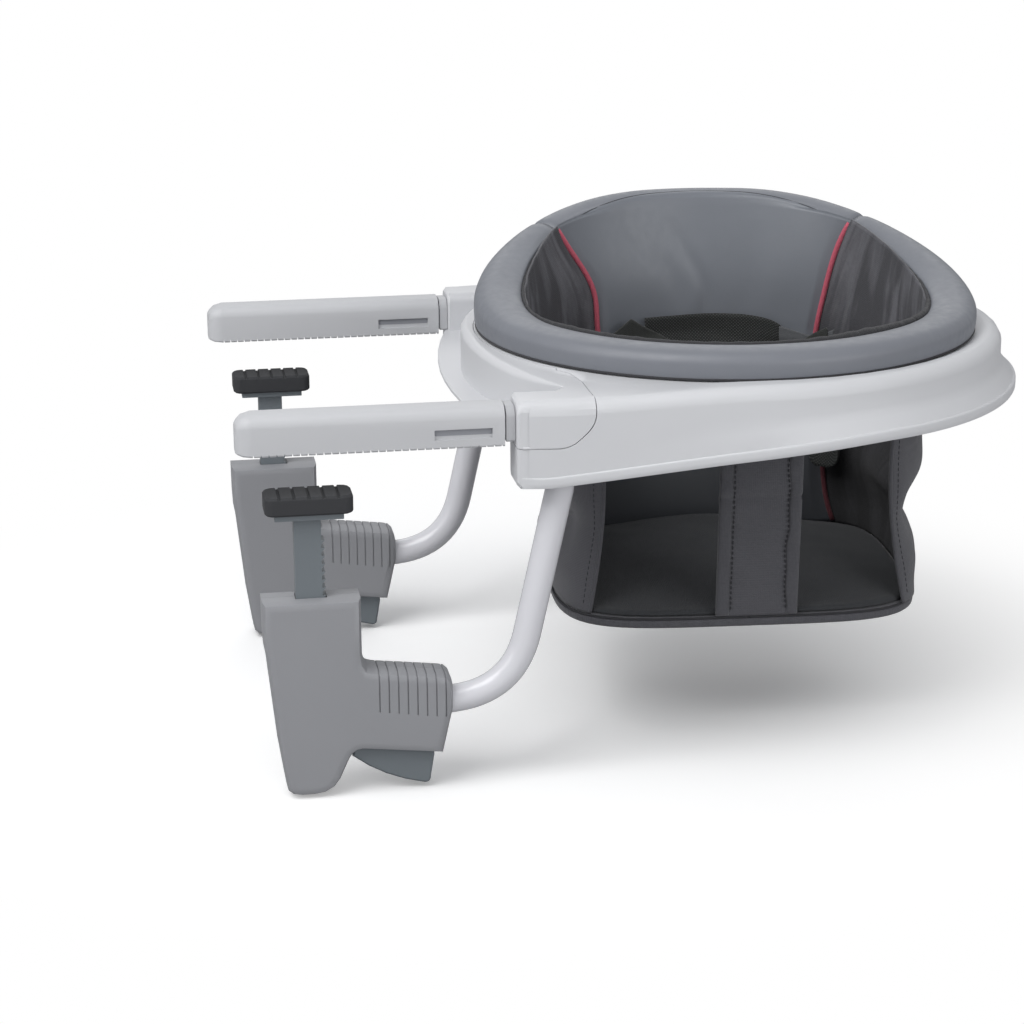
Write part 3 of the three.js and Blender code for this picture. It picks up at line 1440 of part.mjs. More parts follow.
// Front panel: a band inside the rim and a strip down to the pan between the legs
function frontPanel() {
  const half = SIDE_FRONT_DEG - degOf(FIT_GAP + CLOTH / 4);
  const strip = THREE.MathUtils.radToDeg(Math.asin(CROTCH_HALF / RIM_IN_R));
  const step = degOf(CLOTH / 4);
  const right = [0, strip / 2, strip, strip + step, mix(strip, half, 0.25), mix(strip, half, 0.6), half];
  const angles = [...right.slice(1).map((degrees) => -degrees).reverse(), ...right];
  const levels = 8;
  const column = [];
  for (let j = 0; j <= levels; j++) column.push([j / levels, 0]);
  for (let j = levels; j >= 0; j--) column.push([j / levels, 1]);
  return loft(
    angles.map(() => column),
    (i, down, inside) => {
      const degrees = angles[i];
      const inStrip = Math.abs(degrees) <= strip + step / 2;
      const foot = inStrip ? panelFoot : FRONT_BAND_BOTTOM;
      const z = mix(panelTop(degrees), foot, down);
      const x = (RIM_IN_R - CLOTH_GAP - (inside ? CLOTH : 0)) * Math.sin(rad(degrees));
      return stripPoint(x, z, inside ? CLOTH : 0);
    },
    false,
    true,
  );
}
node(seat, "crotch_panel", frontPanel(), DARK_NYLON);

// Piping along the seams between backrest and side panels
for (const [side, hand] of [
  ["left", -1],
  ["right", 1],
]) {
  const steps = 14;
  const loop = [];
  for (let j = 0; j < 6; j++) {
    const turn = (Math.PI * j) / 3;
    loop.push([PIPING_R * Math.cos(turn), PIPING_R * Math.sin(turn)]);
  }
  const loops = [];
  for (let i = 0; i <= steps; i++) loops.push(loop);
  node(
    seat,
    "piping_" + side,
    loft(
      loops,
      (i, u, v) => {
        const z = mix(panelTop(RIM_SEAM_DEG), panelFoot + CUSHION_HEIGHT + CUSHION_CROWN, i / steps);
        const [x, y] = wallPoint(hand * (pipingDeg(z) + degOf(u)), z, CLOTH + PIPING_R / 2 + v, waistAt(z));
        return [x, y, z];
      },
      false,
    ),
    PIPING_RED,
  );
}

// Seat board in its cloth sleeve, and the cushion on it
function panLayers(levels, steps, crown) {
  const loops = [];
  levels.forEach(([, step]) => {
    const loop = [];
    for (let j = 0; j < steps; j++) loop.push(panPoint((360 * j) / steps, step));
    loops.push(loop);
  });
  return loft(loops, (i, x, y) => [x, y, levels[i][0] + (crown ? crown(i, x, y) : 0)], false);
}
const boardTop = PAN_TOP;
node(
  seat,
  "seat_board",
  panLayers(
    [
      [boardTop - BOARD_THICKNESS, BOARD_EDGE_R],
      [boardTop - BOARD_THICKNESS + BOARD_EDGE_R, 0],
      [boardTop - BOARD_EDGE_R / 2, 0],
      [boardTop, BOARD_EDGE_R / 2],
    ],
    40,
  ),
  DARK_NYLON,
);
const cushionStep = CLOTH + BACKREST_PAD + BACKREST_CROWN / 2;
node(
  seat,
  "seat_cushion",
  panLayers(
    [
      [panelFoot, cushionStep + CUSHION_SIDE_IN],
      [panelFoot + CUSHION_HEIGHT * 0.35, cushionStep],
      [panelFoot + CUSHION_HEIGHT * 0.7, cushionStep + CUSHION_SIDE_IN / 2],
      [panelFoot + CUSHION_HEIGHT, cushionStep + 2 * CUSHION_SIDE_IN],
      [panelFoot + CUSHION_HEIGHT + CUSHION_CROWN * 0.6, PAN_HALF_DEPTH * 0.4],
      [panelFoot + CUSHION_HEIGHT + CUSHION_CROWN, PAN_HALF_DEPTH * 0.8],
    ],
    40,
  ),
  DARK_NYLON,
);

// Waist belt across the backrest, with a cloth flap over each end
const beltBack = BACKREST_PAD + BACKREST_CROWN + BELT_STAND_OFF;
function bandOnBack(from, to, steps, topAt, footAt, depth, thickness) {
  const loops = [];
  const levels = 4;
  const column = [];
  for (let j = 0; j <= levels; j++) column.push([j / levels, 0]);
  for (let j = levels; j >= 0; j--) column.push([j / levels, 1]);
  for (let i = 0; i <= steps; i++) loops.push(column);
  return loft(
    loops,
    (i, down, inside) => {
      const across = i / steps;
      const z = mix(topAt(across), footAt(across), down);
      return wallPoint(mix(from, to, across), z, depth + inside * thickness, waistAt(z));
    },
    false,
    true,
  );
}
node(
  seat,
  "waist_belt",
  bandOnBack(
    BELT_FROM_DEG,
    BELT_TO_DEG,
    12,
    () => BELT_TOP,
    () => BELT_TOP - BELT_WIDTH,
    beltBack,
    BELT_THICKNESS,
  ),
  WEBBING,
);
for (const [side, at] of [
  ["left", BELT_TO_DEG],
  ["right", BELT_FROM_DEG - FLAP_DEG / 2],
]) {
  node(
    seat,
    "belt_flap_" + side,
    bandOnBack(
      at - FLAP_DEG / 4,
      at + (FLAP_DEG * 3) / 4,
      6,
      (across) => FLAP_TOP - FLAP_HEIGHT * 0.6 * Math.abs(across - 0.4),
      (across) => FLAP_TOP - FLAP_HEIGHT * (1 - 0.3 * Math.abs(across - 0.4)),
      beltBack + BELT_THICKNESS + FLAP_GAP,
      FLAP_THICKNESS,
    ),
    DARK_NYLON,
  );
}

export default root;
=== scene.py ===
# Hook-on table chair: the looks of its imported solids, in the frame's own axes. Forms are worked out in millimetres.
import math

import bmesh
import bpy
import numpy as np
from mathutils import Matrix, Vector, noise


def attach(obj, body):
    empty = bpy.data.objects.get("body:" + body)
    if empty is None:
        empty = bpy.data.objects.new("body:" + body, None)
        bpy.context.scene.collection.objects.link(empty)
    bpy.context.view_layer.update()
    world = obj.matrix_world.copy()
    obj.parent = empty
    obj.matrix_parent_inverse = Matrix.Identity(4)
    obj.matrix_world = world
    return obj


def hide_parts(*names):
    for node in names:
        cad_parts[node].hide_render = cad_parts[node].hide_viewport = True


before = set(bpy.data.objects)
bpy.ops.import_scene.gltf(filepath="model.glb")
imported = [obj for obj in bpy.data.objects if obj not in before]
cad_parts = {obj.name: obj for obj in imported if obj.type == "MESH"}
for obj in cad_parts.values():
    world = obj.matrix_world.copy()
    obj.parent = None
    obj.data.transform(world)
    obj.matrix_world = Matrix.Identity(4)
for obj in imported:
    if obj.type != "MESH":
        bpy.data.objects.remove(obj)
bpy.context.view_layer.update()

MM = 0.001
TAU = 2 * math.pi

# Sizes repeated from the part, in millimetres and degrees. Angles run from the seat's front, to the photo's right.
RING_X = 198.0
SEAT_TURN = math.radians(-4.0)
RIM_OUT_R = 198.0
RIM_IN_R = 161.0
RIM_BACK_IN_R = 165.0
RIM_SIDE_SET = 5.0
RIM_FRONT_TOP = 61.5
RIM_BACK_TOP = 115.0
RIM_BOTTOM = 41.8
RIM_SEAM = 132.0
RIM_SEAM_HALF = 0.12
RING_FLANGE_R = 192.0
LEDGE_Z = 38.0
PAN_HALF_WIDTH = 143.0
PAN_HALF_DEPTH = 127.0
PAN_FORWARD = 12.5
PAN_POWER = 4.4
PAN_TOP = -160.0
WAIST_PINCH = 9.0
ARM_Y = 184.0
BASE_R = 229.0
HOUSING_OUT = 206.0
HOUSING_BEVEL = 2.5
BACK_BOTTOM = -5.0
SKIRT_BOTTOM = -31.0

# Cloth: its gap to the rim, thickness, and the edges that are sewn under the rim and to the pan
CLOTH_GAP = 1.0
CLOTH_IN = 0.4
CLOTH_THICK = 1.5
SEWN_DROP = 8.2
SEWN_FOOT = PAN_TOP - 0.5
EDGE_DROP = 5.0
SIDE_FRONT = 46.0
SIDE_FOOT = 49.0
CROTCH_HALF = 31.0
BAND_WIDTH = 9.7
FRONT_FOOT = -20.0

# Sideways sag of the hung cloth: how far, the height where it starts, its run, and where it ends across
SWAY = 6.5
SWAY_BACK = 13.0
SWAY_TOP = 100.0
SWAY_RUN = 74.0
SWAY_HALF = 158.0

# Piping: its angle at the rim, at the base and at the pan, its bulge above and below, and its size
PIPING_TOP = 131.0
PIPING_MID = 143.6
PIPING_PAN = 134.5
PIPING_BULGE = 2.2
PIPING_LOW = 3.2
PIPING_R = 2.2
PIPING_IN = 2.7
PIPING_DROP = 5.4

# Belt: its two ends, top and foot, and how far inside the wall it and the flaps lie
BELT_FROM = 154.6
BELT_TO = 202.6
BELT_TOP = 13.5
BELT_FOOT = -25.0
BELT_IN = 13.6
BELT_THICK = 1.7
TAIL_TOP = -14.0
TAIL_FOOT = -107.0
TAIL_IN = 15.2
FLAP_FOOT = -17.0

# Details laid over the hard pieces: the base's lip, and a plate of painted shade in each slot of a boot
LIP_END = 133.4
SLOT_X = -38.0
SLOT_HALF = 21.0
SLOT_SHADE_Z = 11.6
SLOT_SHADE_HALF = 1.2
SLOT_FLOOR = 13.0


# ---- shapes of the seat
def smooth(t):
    t = np.clip(t, 0.0, 1.0)
    return t * t * (3 - 2 * t)


def mix(a, b, t):
    return a + (b - a) * t


def from_front(deg):
    return np.abs((np.asarray(deg, float) + 540.0) % 360.0 - 180.0)


def rim_rise(deg):
    return smooth((from_front(deg) - 60.0) / 108.0)


def rim_top(deg):
    return mix(RIM_FRONT_TOP, RIM_BACK_TOP, rim_rise(deg))


def rim_inner(deg):
    side = np.clip((from_front(deg) - 75.0) / 75.0, 0, 1)
    return mix(RIM_IN_R, RIM_BACK_IN_R, rim_rise(deg)) - RIM_SIDE_SET * np.sin(math.pi * side) ** 2


def pan_point(deg, step):
    """Point of the pan's outline at an angle, set in by a step."""
    a = np.radians(deg)
    s, c = np.sin(a), np.cos(a)
    across = np.abs(s) / (PAN_HALF_WIDTH - step)
    along = np.abs(c) / (PAN_HALF_DEPTH - step)
    reach = (across ** PAN_POWER + along ** PAN_POWER) ** (-1 / PAN_POWER)
    return reach * s, -PAN_FORWARD - reach * c


def hang(z):
    """Share of the way down from height 0 to the pan."""
    return np.clip(np.asarray(z, float) / PAN_TOP, 0, 1)


def waist(z):
    return -WAIST_PINCH * np.sin(math.pi * hang(z))


def sag(x, z):
    """Share of the sideways sag: none at the rim and at the sides."""
    return smooth((SWAY_TOP - z) / SWAY_RUN) * np.clip(1 - (x / SWAY_HALF) ** 2, 0, 1)


def wall_sway(deg, x, z):
    """The walls hang a little to one side: at the back more, but there no longer at the pan."""
    back = smooth((from_front(deg) - 60.0) / 60.0)
    amount = mix(SWAY, SWAY_BACK, back) * (1 - back * smooth((hang(z) - 0.5) / 0.5))
    return x + amount * sag(x, z)


def wall(deg, z, depth, out=0.0):
    """Points of the hanging cloth wall, in the seat's own axes, pushed outwards by out."""
    deg, z = np.broadcast_arrays(np.asarray(deg, float), np.asarray(z, float))
    a = np.radians(deg)
    lean = np.clip((z - RIM_BOTTOM) / (rim_top(deg) - EDGE_DROP - RIM_BOTTOM), 0, 1) ** 1.5
    inner = rim_inner(deg)
    hung = mix(np.minimum(RIM_IN_R, inner), inner, lean) - CLOTH_GAP - depth
    px, py = pan_point(deg, depth)
    x = mix(hung * np.sin(a), px, hang(z)) + out * np.sin(a)
    y = mix(-hung * np.cos(a), py, hang(z)) - out * np.cos(a)
    x = wall_sway(deg, x, z)
    # Inside the ring the wall keeps within its bore
    held = np.minimum(1.0, (hung + out) / np.maximum(np.hypot(x, y), 1.0))
    held = mix(1.0, held, smooth((z + 14.0) / 12.0))
    return np.stack([x * held, y * held, z + 0 * x], -1)


def heap(share, at, wide):
    """A rounded hill of height 1."""
    return np.exp(-(((share - at) / wide) ** 2))


def side_out(across, z):
    """Swell, crease and hem of a side panel, fading to the waist line at its two edges."""
    share = hang(z)
    swell = 6.5 * heap(share, 0.4, 0.17) - 17.0 * heap(share, 0.61, 0.10) + 4.0 * heap(share, 0.86, 0.08)
    fold = 2.0 * np.sin(math.pi * 5 * across + 2.4 * share) * np.sin(math.pi * share)
    middle = np.sin(math.pi * np.clip(across, 0, 1)) ** 0.8
    return mix(waist(z), swell + fold, middle)


def piping_deg(z, hand=1):
    """Angle of a piping at a height: a curve through its three set angles."""
    above = rim_top(RIM_SEAM) - EDGE_DROP
    below = -PAN_TOP
    top = (z * (z + below)) / (above * (above + below))
    mid = ((above - z) * (z + below)) / (above * below)
    foot = (-z * (above - z)) / (below * (above + below))
    bulge = PIPING_BULGE * np.sin(math.pi * np.clip(z / above, 0, 1)) ** 2 * (hand < 0)
    low = PIPING_LOW * np.sin(math.pi * hang(z))
    return PIPING_TOP * top + PIPING_MID * mid + PIPING_PAN * foot + bulge - low


def seat_to_row(points):
    """From the seat's own axes to the frame's: the seat is turned a little on the ring."""
    p = np.asarray(points, float)
    c, s = math.cos(SEAT_TURN), math.sin(SEAT_TURN)
    out = np.empty_like(p)
    out[..., 0] = p[..., 0] * c - p[..., 1] * s + RING_X
    out[..., 1] = p[..., 0] * s + p[..., 1] * c
    out[..., 2] = p[..., 2]
    return out


def wobble(points, scale, amount, seed):
    """Smooth seeded noise at each point, in the same unit as amount."""
    flat = points.reshape(-1, 3)
    away = Vector((seed * 7.3, seed * 3.1, seed * 1.7))
    values = [noise.noise(Vector(p) * scale + away) for p in flat]
    return amount * np.array(values).reshape(points.shape[:-1])


def unit(v):
    return v / np.linalg.norm(v)


def length_along(points):
    """Length of a line of points up to each of them."""
    return np.r_[0, np.cumsum(np.linalg.norm(np.diff(points, axis=0), axis=1))]


def shares(rows, columns):
    """Shares from 0 to 1 down and across a grid."""
    return np.linspace(0, 1, rows)[:, None], np.linspace(0, 1, columns)[None, :]


# ---- mesh helpers
def add_object(name, data):
    obj = bpy.data.objects.new(name, data)
    bpy.context.scene.collection.objects.link(obj)
    return obj


def new_object(name, verts, faces, uvs=None, rounded=True):
    mesh = bpy.data.meshes.new(name)
    mesh.from_pydata([tuple(v * MM) for v in verts], [], faces)
    if uvs is not None:
        layer = mesh.uv_layers.new(name="cloth")
        for loop in mesh.loops:
            layer.data[loop.index].uv = uvs[loop.vertex_index]
    for polygon in mesh.polygons:
        polygon.use_smooth = rounded
    mesh.validate()
    mesh.update()
    return add_object(name, mesh)


def outward(obj):
    """Turn all faces to look outwards."""
    bm = bmesh.new()
    bm.from_mesh(obj.data)
    bmesh.ops.recalc_face_normals(bm, faces=bm.faces)
    bm.to_mesh(obj.data)
    bm.free()
    return obj


def grid_faces(rows, columns, start=0, closed=False, flip=False):
    """Faces between the points of a grid; closed joins its last column to its first."""
    faces = []
    for i in range(rows - 1):
        for j in range(columns if closed else columns - 1):
            a = start + i * columns + j
            b = start + i * columns + (j + 1) % columns
            c, d = b + columns, a + columns
            faces.append((a, d, c, b) if flip else (a, b, c, d))
    return faces


def loft_faces(rings, count, start=0):
    """Faces of a closed body through rings of points, with a cap at each end."""
    last = start + (rings - 1) * count
    caps = [tuple(range(start, start + count)), tuple(reversed(range(last, last + count)))]
    return grid_faces(rings, count, start, closed=True) + caps


def loft(name, rings, rounded=True):
    """A closed body through an array of rings of points."""
    return outward(new_object(name, rings.reshape(-1, 3), loft_faces(*rings.shape[:2]), rounded=rounded))


def sheet_solid(name, outer, inner):
    """A closed thin skin between two grids of points of one shape."""
    rows, columns = outer.shape[:2]
    verts = np.concatenate([outer.reshape(-1, 3), inner.reshape(-1, 3)])
    half = rows * columns
    faces = grid_faces(rows, columns) + grid_faces(rows, columns, half, flip=True)
    edge = [i * columns for i in range(rows)]
    edge += [(rows - 1) * columns + j for j in range(1, columns)]
    edge += [i * columns + columns - 1 for i in range(rows - 2, -1, -1)]
    edge += [j for j in range(columns - 2, 0, -1)]
    for k, a in enumerate(edge):
        b = edge[(k + 1) % len(edge)]
        faces.append((a, b, b + half, a + half))
    u, v = np.meshgrid(length_along(outer.mean(1)), length_along(outer.mean(0)), indexing="ij")
    uv = np.stack([u.ravel(), v.ravel()], -1) * MM
    uv = np.concatenate([uv, uv])
    return outward(new_object(name, verts, faces, [tuple(x) for x in uv]))


def tube(name, path, radius, sides):
    """A closed round bar along points, with no twist."""
    path = np.asarray(path, float)
    tangent = np.gradient(path, axis=0)
    tangent /= np.linalg.norm(tangent, axis=1)[:, None]
    up = np.array([0.0, 0.0, 1.0])
    if abs(tangent[0] @ up) > 0.9:
        up = np.array([0.0, 1.0, 0.0])
    side = unit(np.cross(tangent[0], up))
    rings = []
    radii = np.broadcast_to(np.asarray(radius, float), (len(path),))
    turn = np.arange(sides) / sides * TAU
    for p, t, r in zip(path, tangent, radii):
        side = unit(side - t * (side @ t))
        other = np.cross(t, side)
        rings.append(p + r * (np.cos(turn)[:, None] * side + np.sin(turn)[:, None] * other))
    return loft(name, np.array(rings))


STITCH_SIDES = 6
STITCH_FORM = ((0.0, 0.45), (0.18, 1.0), (0.82, 1.0), (1.0, 0.45))


def stitches(name, line, length, gap, radius):
    """A row of stitches along points: short round bars in one mesh, thinner at both ends."""
    line = np.asarray(line, float)
    run = length_along(line)
    at = lambda s: np.array([np.interp(s, run, line[:, k]) for k in range(3)])
    turn = TAU * np.arange(STITCH_SIDES)[:, None] / STITCH_SIDES
    verts, faces, s = [], [], 0.5 * gap
    while s + length < run[-1]:
        start, end = at(s), at(s + length)
        t = unit(end - start)
        side = unit(np.cross(t, (0.0, 0.0, 1.0) if abs(t[2]) < 0.9 else (1.0, 0.0, 0.0)))
        spokes = np.cos(turn) * side + np.sin(turn) * np.cross(t, side)
        faces += loft_faces(len(STITCH_FORM), STITCH_SIDES, len(verts))
        for share, size in STITCH_FORM:
            verts += list(start + (end - start) * share + radius * size * spokes)
        s += length + gap
    return outward(new_object(name, verts, faces))


# ---- materials
class Nodes:
    """Short ways to add nodes to a tree. A node's values are given in the order of its sockets, or by their names."""

    def __init__(self, tree):
        tree.nodes.clear()
        self.tree = tree

    def add(self, kind, *values, **named):
        node = self.tree.nodes.new(kind)
        for index, value in enumerate(values):
            self.put(node, index, value)
        for key, value in named.items():
            if key.startswith("set_"):
                setattr(node, key[4:], value)
            else:
                self.put(node, key.replace("_", " "), value)
        return node

    def put(self, node, socket, value):
        target = node.inputs[socket]
        if isinstance(value, bpy.types.NodeSocket):
            self.tree.links.new(value, target)
        else:
            target.default_value = value

    def maths(self, operation, *values):
        return self.add("ShaderNodeMath", *values, set_operation=operation).outputs[0]

    def noise(self, where, scale, detail, **more):
        return self.add("ShaderNodeTexNoise", Vector=where, Scale=scale, Detail=detail, **more).outputs[0]

    def blend(self, share, first, second, kind="MIX"):
        return self.add("ShaderNodeMixRGB", share, first, second, set_blend_type=kind).outputs[0]

    def remap(self, value, low, high, to_low=0.0, to_high=1.0, kind="SMOOTHSTEP"):
        """A value's range carried over to another one."""
        return self.add("ShaderNodeMapRange", value, low, high, to_low, to_high, set_interpolation_type=kind).outputs[0]

    def darker_below(self, tone, where, from_height, to_height, share):
        """A colour, turned darker between two heights in metres: painted shade lower down."""
        height = self.add("ShaderNodeSeparateXYZ", where).outputs["Z"]
        dark = self.blend(1.0, tone, (share, share, share, 1), "MULTIPLY")
        return self.blend(self.remap(height, from_height, to_height), tone, dark)

    def seen_directly(self):
        """1 for the camera's rays, also through clear pieces, and 0 for those that light the scene."""
        ray = self.add("ShaderNodeLightPath")
        return self.maths("MAXIMUM", ray.outputs["Is Camera Ray"], ray.outputs["Is Transmission Ray"])

    def surface(self, colour, roughness, height, strength, distance, **extra):
        """The shader that every piece ends in, with its fine relief."""
        bump = self.add("ShaderNodeBump", Strength=strength, Distance=distance, Height=height).outputs[0]
        shader = self.add("ShaderNodeBsdfPrincipled", Normal=bump, Base_Color=colour, Roughness=roughness, **extra)
        self.add("ShaderNodeOutputMaterial", shader.outputs[0])


def material(name):
    m = bpy.data.materials.new(name)
    m.use_nodes = True
    return m, Nodes(m.node_tree)


def lin(*rgb):
    """Linear colour from 0-255 display values."""
    out = []
    for v in rgb:
        v /= 255.0
        out.append(v / 12.92 if v <= 0.04045 else ((v + 0.055) / 1.055) ** 2.4)
    return (*out, 1.0)


def shade(colour, factor):
    return (*[min(1.0, c * factor) for c in colour[:3]], 1.0)


def moulded(name, colour, roughness, grain, strength, variation, **extra):
    """Moulded plastic, paint or rubber: fine spark grain, faint blotches and rubbed patches."""
    m, n = material(name)
    where = n.add("ShaderNodeTexCoord").outputs["Object"]
    fine = n.noise(where, grain, 3.0)
    broad = n.noise(where, 14.0, 4.0)
    tint = n.blend(broad, shade(colour, 1 - variation), shade(colour, 1 + variation))
    rough = n.remap(broad, 0.3, 0.7, roughness - 0.05, roughness + 0.06, "LINEAR")
    n.surface(tint, rough, fine, strength, 0.0002, **extra)
    return m


def leatherette(name, colour, roughness, painted_low_shade=1.0):
    """Coated cloth: pebble grain, soft creases and slight colour drift, with painted shade towards the foot when asked.
    """
    m, n = material(name)
    where = n.add("ShaderNodeTexCoord").outputs["Object"]
    pebble = n.add("ShaderNodeTexVoronoi", Vector=where, Scale=1100.0, set_feature="SMOOTH_F1")
    crease = n.noise(where, 160.0, 6.0)
    broad = n.noise(where, 18.0, 3.0)
    height = n.maths("MULTIPLY_ADD", pebble.outputs["Distance"], 0.6, crease)
    tint = n.blend(broad, shade(colour, 0.93), shade(colour, 1.07))
    # Painted shade: the colour turns darker towards the foot
    if painted_low_shade < 1.0:
        tint = n.darker_below(tint, where, -0.02, -0.09, painted_low_shade)
    rough = n.remap(crease, 0.3, 0.7, roughness - 0.06, roughness + 0.08, "LINEAR")
    n.surface(tint, rough, height, 0.22, 0.0003)
    return m


def woven(name, colour, pitch=0.0007, from_uv=True, thread_shade=0.75, painted_low_shade=1.0, sheen=0.25, painted_fold_sheen=False):
    """Plain weave: two sets of threads over and under, with wrinkles and lint-like variation; when asked, also painted
    sheen streaks on folds and painted shade towards the foot.
    """
    m, n = material(name)
    coords = n.add("ShaderNodeTexCoord")
    where = coords.outputs["UV" if from_uv else "Object"]
    there = coords.outputs["Object"]
    bands = []
    for turn in (0.0, math.pi / 2):
        turned = n.add("ShaderNodeMapping", Vector=where, Rotation=(0, 0, turn)).outputs[0]
        bands.append(n.add("ShaderNodeTexWave", Vector=turned, Scale=0.5 / pitch / 3.1416).outputs["Fac"])
    checker = n.add("ShaderNodeTexChecker", Vector=where, Scale=1.0 / pitch)
    weave = n.blend(checker.outputs["Fac"], *bands)
    wrinkle = n.noise(there, 28.0, 5.0)
    lint = n.noise(there, 420.0, 3.0)
    tint = n.blend(weave, shade(colour, thread_shade), shade(colour, 1.12))
    tone = n.blend(lint, tint, shade(colour, 1.25))
    if painted_fold_sheen:
        # Painted sheen: lighter streaks standing for the light on taut folds, long from top to foot
        folds = n.add("ShaderNodeMapping", Vector=coords.outputs["UV"], Scale=(7.0, 42.0, 1.0), Rotation=(0, 0, 0.12))
        streak = n.noise(folds.outputs[0], 1.0, 4.0, Roughness=0.6, Distortion=0.7)
        lifted = n.blend(1.0, tone, (2.2, 2.2, 2.18, 1), "MULTIPLY")
        tone = n.blend(n.remap(streak, 0.42, 0.68), tone, lifted)
    # Painted shade: the colour turns darker towards the foot
    if painted_low_shade < 1.0:
        tone = n.darker_below(tone, there, 0.03, -0.06, painted_low_shade)
    height = n.maths("MULTIPLY_ADD", wrinkle, 2.0, weave)
    n.surface(tone, 0.78, height, 0.5, 0.0004, Sheen_Weight=sheen, Sheen_Roughness=0.5)
    return m


def ribbed(name, colour, dot, down, across):
    """Heavy webbing: a light cord shows through as dots in staggered columns, at a pitch down and across."""
    m, n = material(name)
    coords = n.add("ShaderNodeTexCoord")
    split = n.add("ShaderNodeSeparateXYZ", coords.outputs["UV"])
    waves = []
    for axis, pitch in (("X", 2 * down), ("Y", 2 * across)):
        waves.append(n.maths("SINE", n.maths("MULTIPLY", split.outputs[axis], TAU / pitch)))
    product = n.maths("MULTIPLY", *waves)
    worn = n.noise(coords.outputs["Object"], 300.0, 2.0)
    base = n.blend(worn, shade(colour, 0.7), shade(colour, 1.3))
    tint = n.blend(n.remap(product, 0.05, 0.75), base, dot)
    n.surface(tint, 0.7, product, 0.6, 0.0004, Sheen_Weight=0.12)
    return m


def steel(name, colour, roughness):
    """Bare metal, brushed along x."""
    m, n = material(name)
    where = n.add("ShaderNodeTexCoord").outputs["Object"]
    stretch = n.add("ShaderNodeMapping", Vector=where, Scale=(60, 900, 900))
    brushed = n.noise(stretch.outputs[0], 1.0, 4.0)
    tint = n.blend(brushed, shade(colour, 0.85), shade(colour, 1.1))
    n.surface(tint, roughness, brushed, 0.08, 0.0001, Metallic=1.0)
    return m


base_white = moulded("base_satin", lin(209, 210, 213), 0.40, 1300.0, 0.10, 0.012)
boot_grey = moulded("boot_soft", lin(196, 197, 200), 0.52, 1500.0, 0.12, 0.02)
collar_grey = moulded("collar_satin", lin(190, 191, 194), 0.46, 1300.0, 0.10, 0.012)
under_grey = moulded("under_cover", lin(176, 178, 181), 0.55, 900.0, 0.2, 0.03)
tube_paint = moulded("tube_paint", lin(222, 222, 227), 0.22, 500.0, 0.05, 0.01, Coat_Weight=0.4, Coat_Roughness=0.12)
clamp_grey = moulded("clamp_matte", lin(149, 150, 154), 0.5, 800.0, 0.25, 0.03)
lever_slate = moulded("lever_slate", lin(114, 121, 126), 0.5, 900.0, 0.2, 0.03)
foot_rubber = moulded("foot_rubber", lin(52, 53, 56), 0.8, 600.0, 0.4, 0.08)
ring_black = moulded("ring_black", lin(38, 39, 41), 0.5, 900.0, 0.2, 0.05)
rim_vinyl = leatherette("rim_vinyl", lin(122, 125, 132), 0.44)
# The backrest's leatherette carries painted shade, darker towards its foot
back_vinyl = leatherette("back_vinyl", lin(119, 123, 130), 0.40, painted_low_shade=0.30)
nylon = woven("nylon_dark", lin(76, 76, 81), thread_shade=0.84)
nylon_plain = woven("nylon_dark_plain", lin(76, 76, 81), from_uv=False)
# Inner faces of the side panels: the walls' cloth a little darker as painted shade, with painted fold sheen and more
# painted shade towards the foot
inner_cloth_shaded = woven("inner_cloth_shaded", lin(72, 72, 76), painted_low_shade=0.2, sheen=0.05, painted_fold_sheen=True)
# The cushion's cloth is the walls' nylon made darker, as painted shade under the ring
cushion_cloth_shaded = woven("cushion_cloth_shaded", lin(46, 48, 51), from_uv=False, sheen=0.12)
binding = woven("binding", lin(74, 74, 79), pitch=0.0006)
# The piping's red carries painted shade, darker towards its foot
red_piping = woven(
    "piping_red", lin(192, 88, 106), pitch=0.0006, from_uv=False, thread_shade=0.88, painted_low_shade=0.16, sheen=0.1,
)
black_web = ribbed("belt_web", lin(17, 19, 18), lin(72, 75, 73), 0.0013, 0.0014)
flap_dark = woven("flap_dark", lin(46, 48, 46))
flap_pale = woven("flap_pale", lin(84, 86, 89))
# Dark cloth of the rim's hem and inner roll: partly their own dark cloth, partly painted shade in the crevices at the
# rim
rim_crevice_cloth_shaded = woven("rim_crevice_cloth_shaded", lin(46, 46, 49), from_uv=False, sheen=0.1)
# Grey of the plates of painted shade in the boots' slots
slot_shade = moulded("slot_shade", lin(146, 148, 154), 0.6, 1500.0, 0.1, 0.02)
thread = moulded("thread_dark", lin(40, 40, 44), 0.7, 1200.0, 0.3, 0.1)
seam_grey = moulded("seam_grey", lin(72, 75, 80), 0.7, 1200.0, 0.3, 0.1)
bare_steel = steel("bare_steel", lin(185, 187, 190), 0.34)


def wear(obj, mat):
    obj.data.materials.clear()
    obj.data.materials.append(mat)
    return obj


def place(obj, mat, body, instead_of=None):
    """A piece's material, its body, and the solid that it stands in for."""
    wear(obj, mat)
    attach(obj, body)
    if instead_of:
        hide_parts(instead_of)
    return obj


